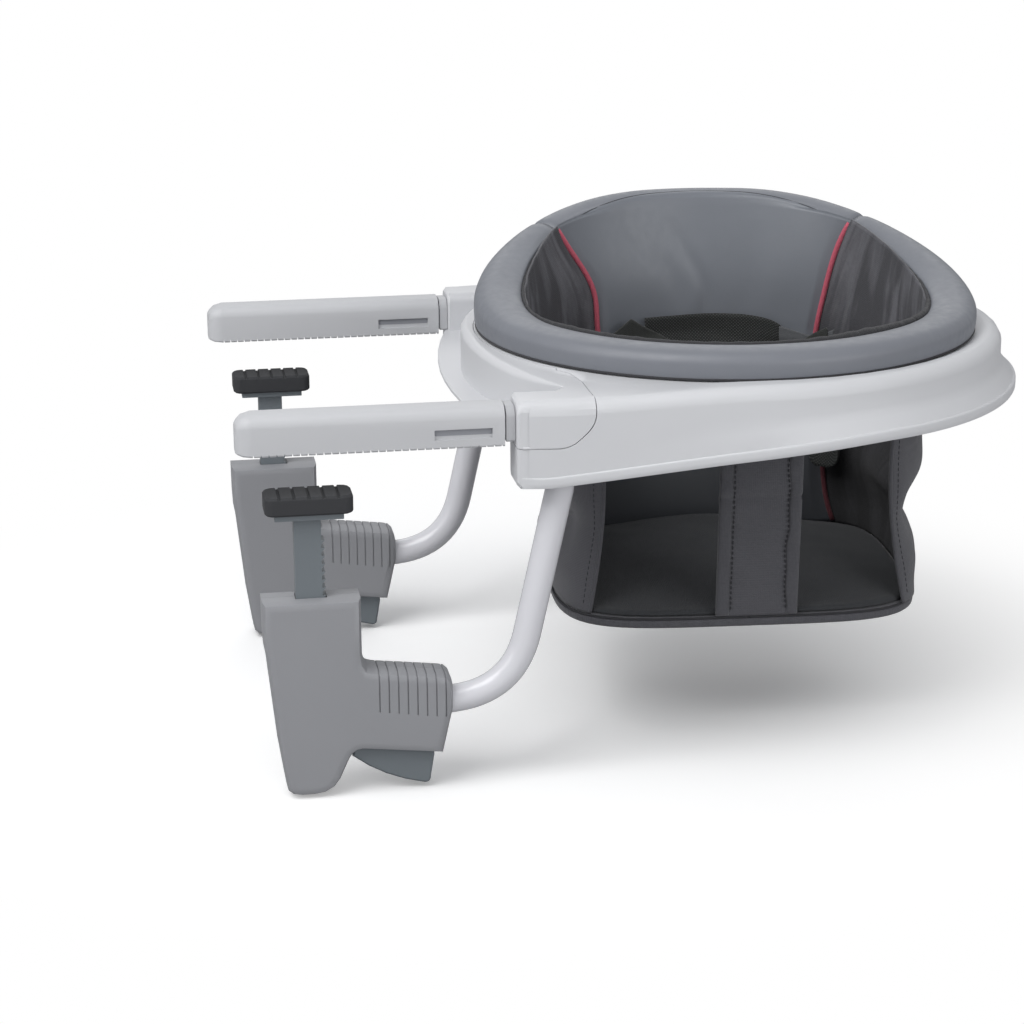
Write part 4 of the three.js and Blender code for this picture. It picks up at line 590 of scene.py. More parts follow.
# ---- rigid pieces
def dress(node, mat, body, bevel, smooth_deg=32):
    """A welded copy of a rigid solid with rounded edges and smooth faces, in its place."""
    bm = bmesh.new()
    bm.from_mesh(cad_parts[node].data)
    bmesh.ops.remove_doubles(bm, verts=bm.verts, dist=0.00002)
    bmesh.ops.dissolve_limit(bm, angle_limit=math.radians(0.6), verts=bm.verts, edges=bm.edges)
    bmesh.ops.recalc_face_normals(bm, faces=bm.faces)
    mesh = bpy.data.meshes.new(node + "_form")
    bm.to_mesh(mesh)
    bm.free()
    obj = add_object(node + "_form", mesh)
    if bevel:
        mod = obj.modifiers.new("edge", "BEVEL")
        mod.width = bevel * MM
        mod.segments = 2
        mod.limit_method = "ANGLE"
        mod.angle_limit = math.radians(smooth_deg)
        mod.miter_outer = "MITER_ARC"
        mesh = bpy.data.meshes.new_from_object(obj.evaluated_get(bpy.context.evaluated_depsgraph_get()))
        obj.modifiers.clear()
        obj.data = mesh
    obj.data.shade_smooth()
    obj.data.set_sharp_from_angle(angle=math.radians(smooth_deg))
    level = obj.modifiers.new("level", "WEIGHTED_NORMAL")
    level.keep_sharp = True
    level.mode = "FACE_AREA"
    return place(obj, mat, body, node)


dress("base_shell", base_white, "frame", 0.0, smooth_deg=28)
dress("front_cover", base_white, "frame", 0.0, smooth_deg=28)
dress("base_lower_cover", under_grey, "frame", 0.4)


def side_radius(away):
    """Distance of the base's side from the ring axis: a circle, then a straight side to the housing."""
    corner_x, corner_y = HOUSING_BEVEL - RING_X, HOUSING_OUT
    tangent = math.atan2(corner_y, corner_x) - math.acos(BASE_R / math.hypot(corner_x, corner_y))
    return BASE_R / np.cos(np.clip(np.abs(away) - tangent, 0, None))


# Rolled lip, a little proud of the wall, along the foot of the sides and the back: its section, out and up
LIP_SECTION = ((-1.2, 1.0), (0.35, 0.5), (0.95, 1.6), (1.05, 4.0), (1.05, 7.2), (0.8, 8.0), (0.2, 8.5), (-1.2, 8.7))
turns = np.linspace(-LIP_END, LIP_END, 361)
skirt = np.clip((np.abs(turns) - 70.0) / 60.0, 0, 1) ** 1.5
low = mix(BACK_BOTTOM, SKIRT_BOTTOM, skirt)
lip_rings = []
for out, up in LIP_SECTION:
    fade = smooth((LIP_END - np.abs(turns)) / 2.0)
    a = np.radians(turns)
    r = side_radius(a) + mix(min(out, 0.1), out, fade)
    lip_rings.append(np.stack([RING_X + r * np.cos(a), r * np.sin(a), low + up], -1))
lip = loft("base_lip_form", np.array(lip_rings).transpose(1, 0, 2))
lip.data.set_sharp_from_angle(angle=math.radians(40))
place(lip, base_white, "frame")


def bend(start, corner, end, shares):
    """Points of a smooth bend round a corner."""
    return [(1 - t) ** 2 * start + 2 * t * (1 - t) * corner + t * t * end for t in shares]


# Raised edge of the front cover on the outer face of each housing: corners of its line, as x and height,
# how deep it lies in the face, and the radius of its last turn, over the housing's top
COVER_LINE = ((3.6, -0.25), (29.0, -0.25), (38.0, -0.25), (44.8, 5.9), (49.9, 10.6), (56.4, 16.9), (56.4, 26.0))
COVER_IN = 0.05
COVER_TURN = 8.0


def cover_line():
    """The line as x, distance out of the housing's face, and height."""
    p = [np.array(q) for q in COVER_LINE]
    steps = np.linspace(0.1, 1, 8)
    route = [p[0], p[1]] + bend(p[1], p[2], p[3], steps) + bend(p[4], p[5], p[6], steps)
    line = [(x, -COVER_IN, z) for x, z in route]
    last_x, last_z = COVER_LINE[-1]
    for turn in np.linspace(0.1, 0.95, 8) * math.pi / 2:
        line.append((last_x, -COVER_TURN * (1 - math.cos(turn)), last_z + COVER_TURN * math.sin(turn)))
    return line


def slot_shadow_plate(name, y, face):
    """Painted shade in a slot of a boot: a thin dark rounded plate on one face, above the lit lower ledge."""
    corners = []
    for k in range(24):
        turn = TAU * (k + 0.5) / 24
        cx, cz = math.cos(turn), math.sin(turn)
        x = SLOT_X + math.copysign(SLOT_HALF - SLOT_SHADE_HALF, cx) + cx
        corners.append((x, SLOT_SHADE_Z + math.copysign(SLOT_SHADE_HALF, cz) + 0.9 * cz))
    rings = []
    for lift, wide in ((-0.3, 1.0), (0.12, 1.0), (0.2, 0.992)):
        rings.append([(SLOT_X + (x - SLOT_X) * wide, y + face * lift, z) for x, z in corners])
    place(loft(name, np.array(rings), rounded=False), slot_shade, "frame")


# Middle line of a clamp's bent tube: its corners, as x and height, the radii of its two bends, and its own radius
TUBE_CORNERS = ((34.5, -10.0), (34.5, -36.0), (-0.5, -191.5), (-92.0, -199.0))
TUBE_BENDS = (24.0, 62.0)
TUBE_R = 10.45


def tube_line():
    """The tube's middle line as x and height, with a smooth bend round each inner corner."""
    corners = [np.array(p) for p in TUBE_CORNERS]
    route = [corners[0]]
    for before, corner, after, radius in zip(corners, corners[1:], corners[2:], TUBE_BENDS):
        back, ahead = unit(before - corner), unit(after - corner)
        run = radius / math.tan(math.acos(np.clip(back @ ahead, -1, 1)) / 2)
        route += bend(corner + back * run, corner, corner + ahead * run, np.linspace(0, 1, 15))
    return route + [corners[-1]]


for side, hand in (("near", -1), ("far", 1)):
    path = [(x, hand * (HOUSING_OUT + out), z) for x, out, z in cover_line()]
    place(tube("cover_edge_" + side, path, 1.0, 12), base_white, "frame")
    # A plate of painted shade in the slot on each face of the boot
    for face in (-1, 1):
        name = "slot_shade_%s_%s" % (side, "out" if face == hand else "in")
        slot_shadow_plate(name, hand * ARM_Y + face * SLOT_FLOOR, face)
    dress("arm_boot_" + side, boot_grey, "frame", 0.35)
    dress("arm_collar_" + side, collar_grey, "frame", 0.5)
    dress("fold_bracket_" + side, bare_steel, "frame", 0.3)
    dress("fold_pin_" + side, bare_steel, "frame", 0.3)
    wear(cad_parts["arm_beam_" + side], bare_steel)
    body = "clamp_" + side
    dress("clamp_shell_outer_" + side, clamp_grey, body, 0.4)
    dress("clamp_shell_inner_" + side, clamp_grey, body, 0.4)
    dress("lever_pin_" + side, bare_steel, body, 0.2)
    dress("clamp_lever_" + side, lever_slate, "lever_" + side, 0.6)
    dress("clamp_rod_" + side, lever_slate, "rod_" + side, 0.3)
    dress("clamp_foot_" + side, foot_rubber, "rod_" + side, 0.4)
    pipe = tube("clamp_tube_%s_form" % side, [(x, hand * ARM_Y, z) for x, z in tube_line()], TUBE_R, 32)
    place(pipe, tube_paint, body, "clamp_tube_" + side)

dress("swivel_ring", ring_black, "seat", 0.4)
dress("swivel_retainer", ring_black, "seat", 0.3)
wear(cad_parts["back_hoop"], bare_steel)


# ---- padded rim
def around(deg, r, z):
    """Points at angles, distances from the ring axis and heights, in the seat's own axes."""
    a = np.radians(deg)
    return np.stack([r * np.sin(a), -r * np.cos(a), z + 0 * r], -1)


def spline_loop(points, count):
    """Closed smooth loop through points, resampled evenly."""
    p = np.asarray(points, float)
    n = len(p)
    fine = []
    for i in range(n):
        p0, p1, p2, p3 = p[(i - 1) % n], p[i], p[(i + 1) % n], p[(i + 2) % n]
        for t in np.linspace(0, 1, 12, endpoint=False):
            bent, twisted = 2 * p0 - 5 * p1 + 4 * p2 - p3, 3 * p1 - p0 - 3 * p2 + p3
            fine.append(0.5 * (2 * p1 + (p2 - p0) * t + bent * t ** 2 + twisted * t ** 3))
    closed = np.vstack([fine, fine[:1]])
    run = length_along(closed)
    at = np.linspace(0, run[-1], count, endpoint=False)
    return np.stack([np.interp(at, run, closed[:, k]) for k in (0, 1)], -1)


def rim_profile(deg):
    """The rim's section at an angle, as distance from the ring axis and height."""
    top = float(rim_top(deg))
    inner = float(rim_inner(deg))
    width = RIM_OUT_R - inner
    rise = top - RIM_BOTTOM
    low = RIM_BOTTOM + 0.2
    points = [
        (RING_FLANGE_R + 1.3, low + 0.6),
        (RING_FLANGE_R + 1.7, LEDGE_Z + 1.7),
        (RING_FLANGE_R + 2.9, LEDGE_Z + 0.7),
        (RING_FLANGE_R + 4.3, LEDGE_Z + 1.4),
        (RIM_OUT_R - 0.5, LEDGE_Z + 5.0),
        (RIM_OUT_R, mix(RIM_BOTTOM, top, 0.36)),
        (RIM_OUT_R - width * 0.02, mix(RIM_BOTTOM, top, 0.6)),
        (RIM_OUT_R - width * 0.12, top - rise * 0.17),
        (RIM_OUT_R - width * 0.3, top - rise * 0.045),
        (inner + width * 0.48, top),
        (inner + width * 0.24, top - 1.4),
        (inner + width * 0.07, top - 4.2),
        (inner + 0.4, top - 8.5),
        (inner + 0.4, low + 4.0),
        (inner + 3.0, low),
        (inner + width * 0.5, low),
        (RING_FLANGE_R - 3.0, low),
    ]
    return spline_loop(points, 72)


def rim_piece(name, start, end, steps, instead_of):
    """One length of the padded rim, drawn in at its two sewn ends."""
    rings = []
    for k, deg in enumerate(np.linspace(start, end, steps)):
        loop = rim_profile(deg)
        from_end = min(k, steps - 1 - k) * abs(end - start) / (steps - 1)
        tuck = math.exp(-((from_end / 0.55) ** 2)) * 1.3 + math.exp(-((from_end / 3.0) ** 2)) * 0.35
        away = loop - loop.mean(0)
        loop = loop - away / np.linalg.norm(away, axis=1)[:, None] * tuck
        rings.append(around(deg, loop[:, 0], loop[:, 1]))
    rings = np.array(rings)
    out = rings - rings.mean(1, keepdims=True)
    out /= np.linalg.norm(out, axis=2, keepdims=True)
    tight = wobble(rings, 0.016, 0.3, 3) + wobble(rings, 0.11, 0.12, 5) * (rings[..., 2] < RIM_BOTTOM + 6)
    obj = loft(name, seat_to_row(rings + out * (tight[..., None] - 0.2)))
    place(obj, rim_vinyl, "seat", instead_of)


rim_piece("rim_front_form", -RIM_SEAM + RIM_SEAM_HALF, RIM_SEAM - RIM_SEAM_HALF, 150, "rim_pad_front")
rim_piece("rim_back_form", RIM_SEAM + RIM_SEAM_HALF, 360 - RIM_SEAM - RIM_SEAM_HALF, 70, "rim_pad_back")


# ---- cloth walls
def cloth(edges_at, rows, columns, out_at, seed, rumple):
    """A side panel's outer and inner points. edges_at(z) gives its edge angles; out_at pushes the wall out."""
    down, across = shares(rows, columns)
    guess = mix(*edges_at(0.0), across)
    z = mix(rim_top(guess) - SEWN_DROP, SEWN_FOOT + 0 * guess, down)
    deg = mix(*edges_at(z), across)
    out = out_at(across + 0 * down, z, deg)
    inside = np.minimum(np.minimum(across, 1 - across) * 12, np.minimum(down * 9, (1 - down) * 9))
    out = out + wobble(wall(deg, z, CLOTH_IN), 0.035, rumple, seed) * np.clip(inside, 0, 1)
    return wall(deg, z, CLOTH_IN, out), wall(deg, z, CLOTH_IN + CLOTH_THICK, out)


def put_cloth(name, outer, inner, mat, instead_of=None, inner_face_mat=None):
    """A sheet between two grids of points on the seat, with a second material on its inner face where one is given."""
    obj = sheet_solid(name, seat_to_row(outer), seat_to_row(inner))
    place(obj, mat, "seat", instead_of)
    if inner_face_mat:
        obj.data.materials.append(inner_face_mat)
        count = (outer.shape[0] - 1) * (outer.shape[1] - 1)
        for polygon in obj.data.polygons[count : 2 * count]:
            polygon.material_index = 1
    return obj


def put_tube(name, path, radius, sides, mat, instead_of=None):
    return place(tube(name, seat_to_row(path), radius, sides), mat, "seat", instead_of)


def put_stitches(name, line, length, gap, radius):
    return place(stitches(name, seat_to_row(line), length, gap, radius), thread, "seat")


SEWN = math.degrees(1.9 / RIM_IN_R)


def sewn_gap(z):
    """Half of the gap under the piping, in degrees; it closes towards the pan."""
    return SEWN * (1 - 0.9 * smooth((-z - 70.0) / 50.0))


def seeded(values, at, height):
    """One draw of smooth noise for each value."""
    return np.array([noise.noise(Vector((v, at, height))) for v in values])


def side_folds(hand):
    """Long folds, gathers under the rim and drag lines that run from the front edge."""

    def out(across, z, deg):
        share = hang(z)
        below = rim_top(deg) - SEWN_DROP - z
        away = np.clip(np.minimum(across, 1 - across) * 8, 0, 1)
        uneven = seeded(across[0] * 17.0, 2.0 + hand, 0.3)[None, :]
        broad = seeded(across[0] * 5.5, 9.0 + hand, 4.1)[None, :]
        gather = 1.3 * uneven * heap(below, 6, 16) + 3.2 * broad * heap(below, 34, 30)
        spread = np.hypot((across - 0.12) * 150, below - 62)
        rings = 0.45 * np.sin(TAU * spread / 7.5) * heap(spread, 26, 20)
        slant = 1.5 * np.sin(math.pi * (5 * across - 3.4 * share + 0.4)) * heap(share, 0.55, 0.2)
        drag = 0.8 * np.sin(math.pi * (3 * across + 7 * share)) * heap(share, 0.7, 0.15)
        return side_out(across, z) + (gather + rings + slant + drag) * away

    return out


for side, hand in (("left", -1), ("right", 1)):
    edges = lambda z: (hand * mix(SIDE_FRONT, SIDE_FOOT, hang(z)), hand * (piping_deg(z, hand) - sewn_gap(z)))
    outer, inner = cloth(edges, 96, 150, side_folds(hand), 4 + hand, 1.0)
    # The panel's inner face takes the darker cloth with painted shade and painted fold sheen
    panel = put_cloth("side_%s_form" % side, outer, inner, nylon, "side_panel_" + side, inner_cloth_shaded)
    # Bound front edge beside the leg opening, with a line of stitches on both faces
    line = (outer[:, 0] + inner[:, 0]) / 2
    bound = line[line[:, 2] < 34]
    trim = [put_tube("edge_%s_binding" % side, bound, 1.5, 12, binding)]
    for name, sheet, lift in (("inner", inner, -0.1), ("outer", outer, 0.1)):
        line = sheet[4:-2, 4] + (outer[4:-2, 4] - inner[4:-2, 4]) * lift
        line = line[line[:, 2] < 30]
        trim.append(put_stitches("edge_%s_%s_stitches" % (side, name), line, 2.8, 1.6, 0.3))

# Piping on the two back seams
for side, hand in (("left", -1), ("right", 1)):
    z = np.linspace(float(rim_top(RIM_SEAM)) - PIPING_DROP, PAN_TOP + 2.0, 70)
    tucked = np.exp(-(z[0] - z) / 9.0)
    path = wall(hand * piping_deg(z, hand), z, PIPING_IN - 3.4 * tucked, waist(z))
    put_tube("piping_%s_form" % side, path, PIPING_R, 14, red_piping, "piping_" + side)

# Backrest: a padded leatherette panel between the pipings, turned over the rim's inner corner at the top
CORNER_DROP = 7.1
OVER_THICK = 1.2
across = np.linspace(0, 1, 110)[None, :]
guess = mix(PIPING_MID, 360 - PIPING_MID, across)
edge_deg = mix(RIM_SEAM + 1.0, 360 - RIM_SEAM - 1.0, across)
turned = np.linspace(0, 1, 14)[:, None]
seam_share = np.clip(1 - (np.abs(edge_deg - 180) / 46.5) ** 1.3, 0.02, 1)
theta = mix((1 - seam_share) * math.pi / 2, 0.88 * math.pi / 2, turned)
corner_in = 0.24 * (RIM_OUT_R - rim_inner(edge_deg))
over_r = rim_inner(edge_deg) - 0.9 + corner_in * (1 - np.sin(theta))
over_z = rim_top(edge_deg) - 0.7 - CORNER_DROP * (1 - np.cos(theta))
tuck = 0.9 * np.exp(-turned * seam_share * 11 / 1.2)
over_r, over_z = over_r + tuck * np.sin(theta), over_z - tuck * np.cos(theta)
over_front = around(edge_deg, over_r, over_z)
over_back = around(edge_deg, over_r + OVER_THICK * np.sin(theta), over_z - OVER_THICK * np.cos(theta))

# Soft creases of the hide: across at top and foot, height shares from and to, width, and push
CREASES = (
    (0.585, 0.50, 0.04, 0.40, 0.035, 1.5),
    (0.53, 0.60, 0.10, 0.42, 0.05, -1.2),
    (0.72, 0.62, 0.02, 0.36, 0.05, 1.0),
    (0.30, 0.40, 0.06, 0.45, 0.07, 0.9),
)
down = np.linspace(0.004, 1, 90)[:, None]
z = mix(rim_top(guess) - SEWN_DROP, SEWN_FOOT, down)
deg = mix(piping_deg(z) - sewn_gap(z) * 0.8, 360 - piping_deg(z, -1) + sewn_gap(z) * 0.8, across)
swell = np.sin(math.pi * across)
fill = np.clip(np.minimum(across, 1 - across) * 30 - 0.6, 0, 1) * (1 - (1 - np.clip(down / 0.34, 0, 1)) ** 2)
padding = 1.2 + 5.0 * swell ** 0.5 + 3.6 * swell * np.sin(math.pi * down)
depth = mix(0.15, 1.0, smooth(down * 6)) + padding * fill
outer = wall(deg, z, mix(-0.9, 0.3, smooth(down * 8)), waist(z))
inner = wall(deg, z, depth, waist(z))
dent = wobble(inner, 0.016, 1.0, 9) * np.clip(swell * 3, 0, 1) * smooth(down * 6)
for start, end, top, foot, width, push in CREASES:
    along = np.clip((down - top) / (foot - top), 0, 1)
    line = mix(start, end, along ** 1.3)
    dent = dent + push * heap(across, line, width) * np.sin(math.pi * along)
inner = inner + around(deg, 1.0, 0.0 * deg) * dent[..., None]
outer, inner = np.concatenate([over_back, outer]), np.concatenate([over_front, inner])
back = put_cloth("backrest_form", outer, inner, back_vinyl, "backrest_pad")
crest = over_front[0, 3:-3] + np.array([0.0, 0.0, 0.15])
put_tube("crest_seam", crest, 0.45, 10, seam_grey)


# Front panel with the strip between the legs
def strip_out(x, z):
    """A pressed-in crease across the strip, loose cloth above it and puckers beside the bands."""
    crease = -1.3 * heap(z, -63.0, 2.2) + 1.1 * heap(z, -55.0, 5.0) + 0.5 * heap(z, -72.0, 5.0)
    dip = 0.6 * np.sin(z / 7.0 + x / 16.0) * heap(np.abs(x), 21.0, 7.0)
    return (crease * (1 - 0.25 * np.sin(x / 11.0)) + dip) * smooth((z - PAN_TOP) / 20)


def front_cloth(x, z, depth):
    """Points of the front panel at a distance from its middle line, with the strip's relief."""
    x, z = np.broadcast_arrays(np.asarray(x, float), np.asarray(z, float))
    hung = RIM_IN_R - CLOTH_GAP - depth
    side = np.abs(x) / (PAN_HALF_WIDTH - depth)
    pan_y = PAN_FORWARD + (PAN_HALF_DEPTH - depth) * (1 - side ** PAN_POWER) ** (1 / PAN_POWER)
    relief = strip_out(x, z) * (np.abs(x) < CROTCH_HALF + 1)
    y = mix(np.sqrt(hung * hung - x * x), pan_y, hang(z)) + relief
    return np.stack([x + SWAY * sag(x, z), -y, z], -1)


def wander(z, hand):
    """The right band's inner edge isn't quite straight."""
    return (0.7 * np.sin(z / 13.0 + hand) + 0.5 * np.sin(z / 5.1)) * (hand > 0)


half_band = RIM_IN_R * math.sin(math.radians(SIDE_FRONT - 0.5))
down = np.linspace(0, 1, 96)[:, None]
beside = np.linspace(CROTCH_HALF + 0.6, half_band, 22)
xs = np.r_[-beside[::-1], np.linspace(-CROTCH_HALF, CROTCH_HALF, 56), beside][None, :]
within = np.abs(xs) <= CROTCH_HALF + 0.3
foot = np.where(within, SEWN_FOOT, FRONT_FOOT)
z = mix(RIM_FRONT_TOP - SEWN_DROP, foot, down)
outer, inner = front_cloth(xs, z, CLOTH_IN), front_cloth(xs, z, CLOTH_IN + CLOTH_THICK)
rumple = wobble(outer, 0.05, 0.8, 12) * np.clip(np.minimum(down, 1 - down) * 8, 0, 1)
outer[..., 1] -= rumple
inner[..., 1] -= rumple
crotch = put_cloth("crotch_form", outer, inner, nylon, "crotch_panel")

# Folded side bands of the strip, raised over it, each with a line of stitches along its inner edge
BAND_LIFT = np.array([0.0, 0.9, 1.3, 1.4, 1.4, 1.35, 1.2, 0.9, 0.1])
OUTWARD = np.array([0.0, -1.0, 0.0])
trim = []
for name, hand in (("left", -1), ("right", 1)):
    zs = np.linspace(38.0, PAN_TOP + 1.0, 110)
    edge = CROTCH_HALF - BAND_WIDTH + wander(zs, hand)
    steps = np.linspace(0, 1, len(BAND_LIFT))
    grid = [front_cloth(hand * mix(CROTCH_HALF + 0.5, edge, t), zs, CLOTH_IN) for t in steps]
    grid = np.array(grid).transpose(1, 0, 2)
    rough = wobble(grid, 0.08, 0.5, 15 + hand)[..., None]
    front = grid + OUTWARD * (BAND_LIFT[None, :, None] + rough)
    trim.append(put_cloth("strip_%s_band" % name, front, grid - OUTWARD * 2.4, binding))
    zs = np.linspace(36.0, PAN_TOP + 2.5, 140)
    aside = CROTCH_HALF - BAND_WIDTH - 0.7 + wander(zs, hand)
    line = front_cloth(hand * aside, zs, 0.0) + OUTWARD * 0.75
    trim.append(put_stitches("strip_%s_stitches" % name, line, 2.7, 1.5, 0.55))

# Dark hem under the rim, where it lies on the base: partly a hem, partly painted shadow of the gap there
degs = np.linspace(-180, 179, 360)
path = around(degs, RIM_OUT_R - 2.0, LEDGE_Z + 1.7 + 0 * degs)
put_tube("rim_hem_and_shadow", np.concatenate([path, path[:1]]), 1.2, 10, rim_crevice_cloth_shaded)

# Gathered roll of cloth along the rim's inner edge, fuller in front; its dark cloth is partly painted shade of the
# crevice there
degs = np.linspace(1.5 - RIM_SEAM, RIM_SEAM - 1.5, 520)
from_side = smooth((from_front(degs) - 55.0) / 30.0)
full = 3.4 + 1.8 * heap(degs, 33.0, 13.0) - 1.7 * from_side
beads, fine = seeded(degs * 0.32, 3.0, 1.0), seeded(degs * 0.9, 7.0, 2.0)
roll_r = rim_inner(degs) - full * 0.25 - 0.3 + 0.5 * fine
roll_z = rim_top(degs) - EDGE_DROP + 0.4 * beads - 2.4 * from_side
full = full * (1 + 0.10 * beads + 0.06 * fine)
trim.append(put_tube("rim_inner_roll", around(degs, roll_r, roll_z), full, 18, rim_crevice_cloth_shaded))


# ---- seat pan and cushion
def pan_loop(count, step):
    """The pan's outline, set in by a step, which may change with the angle."""
    deg = np.linspace(0, 360, count, endpoint=False)
    x, y = pan_point(deg, step(deg) if callable(step) else step)
    return np.stack([x, y], -1)


def pan_solid(name, levels, count, mat, seed, instead_of, rumple=0.0, pucker=0.0, plump=0.0):
    """A padded body of the pan's outline: its levels are heights with their steps, from the foot up."""
    rings = np.array([np.c_[pan_loop(count, step), np.full(count, z)] for z, step in levels])
    if pucker:
        tight = seeded(np.linspace(0, 360, count, endpoint=False) * 0.55, 5.0, seed)
        side = np.array([math.exp(-((z - PAN_TOP + 4.0) / 3.0) ** 2) for z, _ in levels])[:, None]
        rings[..., :2] *= 1 + (pucker / PAN_HALF_WIDTH) * (tight[None, :] * side)[..., None]
    if plump:
        # Filled higher at the middle of the back than at its corners
        full = plump * np.exp(-((rings[..., 0] / 75.0) ** 2)) - 2.2
        above = np.clip((rings[..., 2] - levels[0][0]) / 3.0, 0, 1)
        rings[..., 2] += full * smooth((rings[..., 1] + 10.0) / 90.0) * above
    if rumple:
        inside = np.clip(np.arange(len(levels)) / 14.0, 0, 1)[:, None]
        rings[..., 2] += wobble(rings, 0.03, rumple, seed) * np.clip(inside, 0.15, 1)
    place(loft(name, seat_to_row(rings)), mat, "seat", instead_of)


def cushion_step(extra):
    """Distance from the pan's edge: close to the walls, and clear of the backrest's foot."""
    return lambda deg: mix(4.0, 12.5, smooth((from_front(deg) - 122.0) / 20.0)) + extra


# Heights and steps of the board in its sleeve
BOARD_LEVELS = (
    (-168.9, 30), (-168.9, 4.0), (-168.5, 1.6), (-167.4, 0.5), (-166.0, 0.1),
    (-163.0, 0.1), (-161.6, 0.6), (-160.9, 1.6), (-160.4, 3.0), (-160.2, 30),
)
pan_solid("pan_sleeve_form", BOARD_LEVELS, 360, nylon_plain, 21, "seat_board", pucker=0.7)

# Cushion: its foot, the rise and step of its rounded side, and the rise and step of its crown
CUSHION_FOOT, SIDE_RISE, SIDE_STEP, CROWN_RISE, CROWN_STEP = -159.3, 3.6, 6.0, 14.0, 106
levels = []
for t in np.linspace(0, 1, 12):
    turn = t * math.pi / 2
    levels.append((CUSHION_FOOT + SIDE_RISE * math.sin(turn) ** 0.9, cushion_step(SIDE_STEP * (1 - math.cos(turn)))))
for t in np.linspace(0.08, 0.97, 22):
    rise = SIDE_RISE + CROWN_RISE * math.sin(t * math.pi / 2)
    levels.append((CUSHION_FOOT + rise, cushion_step(SIDE_STEP + t * CROWN_STEP)))
# The cushion's cloth is darkened as painted shade
pan_solid("cushion_form", levels, 160, cushion_cloth_shaded, 23, "seat_cushion", rumple=1.2, plump=9.5)

# Cord round the pan, where the walls are sewn to the board's sleeve
loop = pan_loop(200, 0.2)
loop = np.r_[loop, loop[:1]]
put_tube("pan_welt", np.c_[loop, np.full(len(loop), -160.9)], 0.85, 10, thread)


# ---- belt and its flaps
def band(name, ends, columns, top_at, foot_at, depth_at, thickness, mat, instead_of=None, rows=14):
    """A strip of cloth inside the wall, between two angles; the rest is told by shares across and down."""
    down, across = shares(rows, columns)
    deg = mix(*ends, across) + 0 * down
    z = mix(top_at(across), foot_at(across), down)
    depth = depth_at(across + 0 * down, down + 0 * across)
    outer = wall(deg, z, depth, waist(z))
    inner = wall(deg, z, depth + thickness, waist(z))
    return put_cloth(name, outer, inner, mat, instead_of), outer


# The belt's top line drops towards its right end: shares from there, and the drop at each
DROP_AT = (0, 0.02, 0.05, 0.09, 0.14, 0.2, 0.3)
DROPS = (9.5, 7.4, 5.4, 3.6, 2.2, 1.1, 0)
belt, belt_grid = band(
    "belt_form", (BELT_FROM, BELT_TO), 90,
    lambda t: BELT_TOP - np.interp(t, DROP_AT, DROPS), lambda t: BELT_FOOT + 0 * t,
    lambda t, d: BELT_IN + 0.9 * np.sin(3 * math.pi * t), BELT_THICK, black_web, "waist_belt",
)

# Loose end of the belt, which hangs behind the strip
tail, tail_grid = band(
    "belt_tail_form", (128.6, 141.0), 30,
    lambda t: TAIL_TOP + 0 * t, lambda t: TAIL_FOOT + 9.0 * np.abs(2 * t - 1) ** 4,
    lambda t, d: TAIL_IN + 1.5 * d, BELT_THICK, black_web, rows=40,
)

# Flaps over the belt's ends: their angles, the height of the top line at shares between them, how far inside
# the wall they lie, their cloth, and the solid that they stand in for
FLAPS = (
    ("left", (194.0, 215.4), (0, 0.26, 0.5, 0.69, 0.96, 1), (-7.0, 1.5, 8.5, 15.5, 6.0, 5.0), 16.6, flap_dark,
     "belt_flap_left"),
    ("right", (132.6, 155.4), (0, 0.2, 0.4, 0.75, 0.9, 1), (9.0, 4.0, 0.5, 3.2, 5.0, 5.4), 17.0, flap_pale,
     "belt_flap_right"),
    ("tip", (135.0, 145.5), (0, 0.06, 0.5, 0.9, 1), (9.0, 10.0, 4.5, -1.5, -4.0), 18.8, flap_dark, None),
)
for side, ends, along, heights, depth_in, mat, instead_of in FLAPS:
    band(
        "flap_%s_form" % side, ends, 60,
        lambda t: np.interp(t, along, heights), lambda t: FLAP_FOOT + 0 * t,
        lambda t, d: depth_in + 1.6 * np.sin(math.pi * t) * (1 - d), 1.0, mat, instead_of,
    )


# ---- stage, light and camera
FLOOR_Z = -0.2615
FLOOR_HALF = 9.0


def stage_material():
    """Pale sweep: the shadow shows near the object, and it runs out to plain white."""
    m, n = material("stage_pale")
    where = n.add("ShaderNodeTexCoord").outputs["Object"]
    near = n.blend(n.noise(where, 3.0, 2.0), (1.14, 1.14, 1.14, 1), (1.16, 1.16, 1.16, 1))
    shown = n.add("ShaderNodeBsdfDiffuse", near)
    lighting = n.add("ShaderNodeBsdfDiffuse", (0.42, 0.42, 0.425, 1))
    white = n.add("ShaderNodeEmission", (1, 1, 1, 1), 1.0)
    away = n.add("ShaderNodeVectorMath", where, (0.05, 0.1, FLOOR_Z), set_operation="DISTANCE").outputs["Value"]
    seen = n.add("ShaderNodeMixShader", n.remap(away, 0.2, 0.62), shown.outputs[0], white.outputs[0])
    both = n.add("ShaderNodeMixShader", n.seen_directly(), lighting.outputs[0], seen.outputs[0])
    n.add("ShaderNodeOutputMaterial", both.outputs[0])
    return m


square = ((-1, -1), (1, -1), (1, 1), (-1, 1))
corners = np.array([(x * FLOOR_HALF, y * FLOOR_HALF, FLOOR_Z) for x, y in square]) / MM
floor = wear(new_object("floor", corners, [(0, 1, 2, 3)], rounded=False), stage_material())


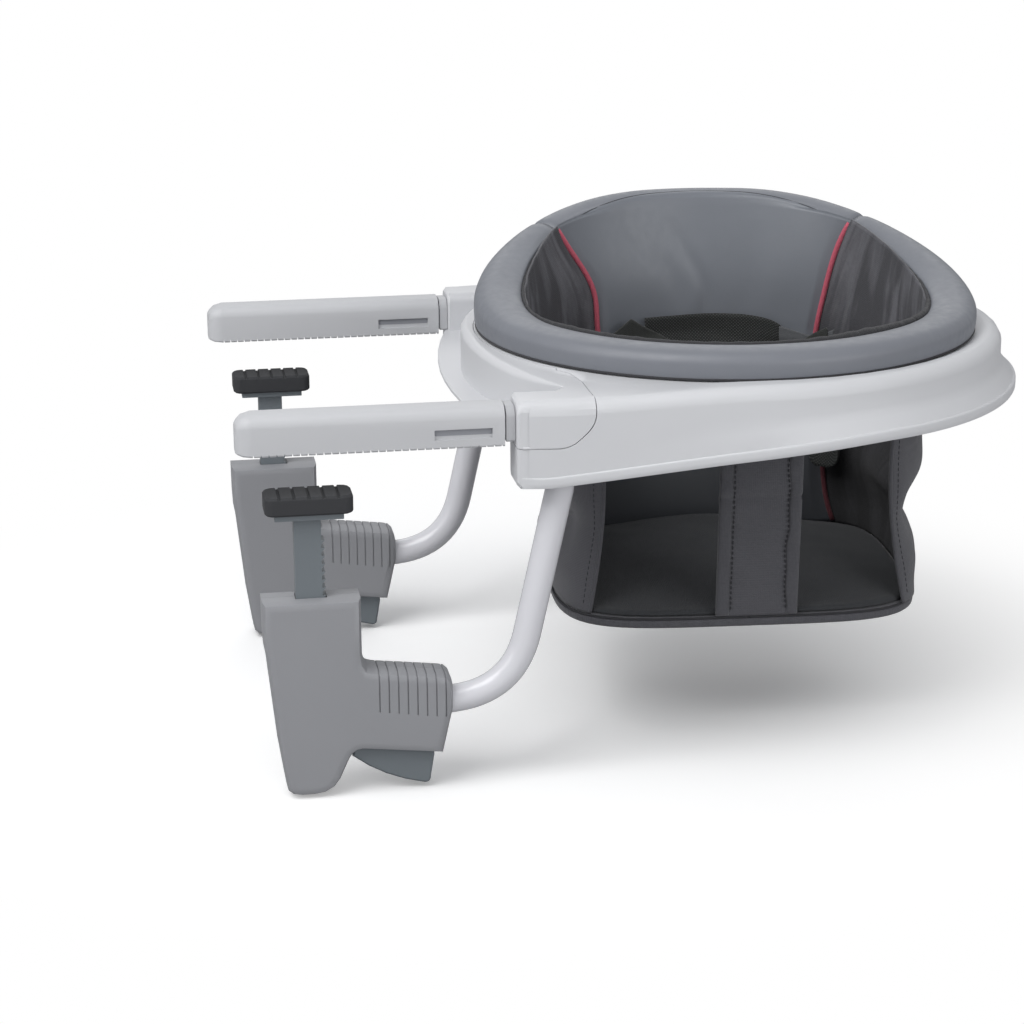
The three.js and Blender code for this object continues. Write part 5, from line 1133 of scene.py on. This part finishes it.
def area_light(name, spot, target, size, power):
    light = bpy.data.lights.new(name, "AREA")
    light.shape = "RECTANGLE"
    light.size, light.size_y = size
    light.energy = power
    obj = add_object(name, light)
    obj.location = spot
    obj.rotation_euler = (Vector(target) - Vector(spot)).to_track_quat("-Z", "Y").to_euler()


# Where each light stands and what it faces, in metres, with its size and watts
centre = (0.1, 0.0, -0.05)
area_light("key_top", (-1.2, -1.0, 2.0), centre, (1.8, 1.8), 40)
area_light("fill_front", (1.8, -2.4, 0.5), (0.0, 0.0, -0.1), (2.4, 1.6), 23)
area_light("side_left", (-2.0, -0.9, 0.8), centre, (1.2, 1.2), 7)
area_light("rim_back", (0.6, 2.2, 1.3), centre, (2.0, 1.2), 8)

# A white background, and a weaker, slightly blue one that lights the scene
world = bpy.data.worlds.new("studio")
bpy.context.scene.world = world
world.use_nodes = True
n = Nodes(world.node_tree)
seen = n.add("ShaderNodeBackground", (1, 1, 1, 1), 1.0)
soft = n.add("ShaderNodeBackground", (0.97, 0.98, 1.0, 1), 0.46)
both = n.add("ShaderNodeMixShader", n.seen_directly(), soft.outputs[0], seen.outputs[0])
n.add("ShaderNodeOutputWorld", both.outputs[0])

# Camera at the photograph's angle: its place in metres, its turn in degrees, and its focal length in the
# photograph's pixels
CAMERA_AT = (-0.2970, -2.1016, 0.5235)
AZIMUTH, ELEVATION, ROLL = -8.77, 16.57, -0.446
FOCAL_PX, PHOTO_PX, SENSOR = 2775.0, 1024.0, 36.0
azimuth, elevation, roll = (math.radians(v) for v in (AZIMUTH, ELEVATION, ROLL))
level = math.cos(elevation)
backward = Vector((math.sin(azimuth) * level, -math.cos(azimuth) * level, math.sin(elevation)))
right = Vector((math.cos(azimuth), math.sin(azimuth), 0.0))
right = right * math.cos(roll) + backward.cross(right) * math.sin(roll)
up = backward.cross(right)
lens = bpy.data.cameras.new("camera")
lens.sensor_width = SENSOR
lens.lens = SENSOR * FOCAL_PX / PHOTO_PX
lens.clip_end = 50.0
camera = add_object("camera", lens)
camera.matrix_world = Matrix((*zip(right, up, backward, CAMERA_AT), (0, 0, 0, 1)))
bpy.context.scene.camera = camera
bpy.context.scene.view_settings.view_transform = "Standard"
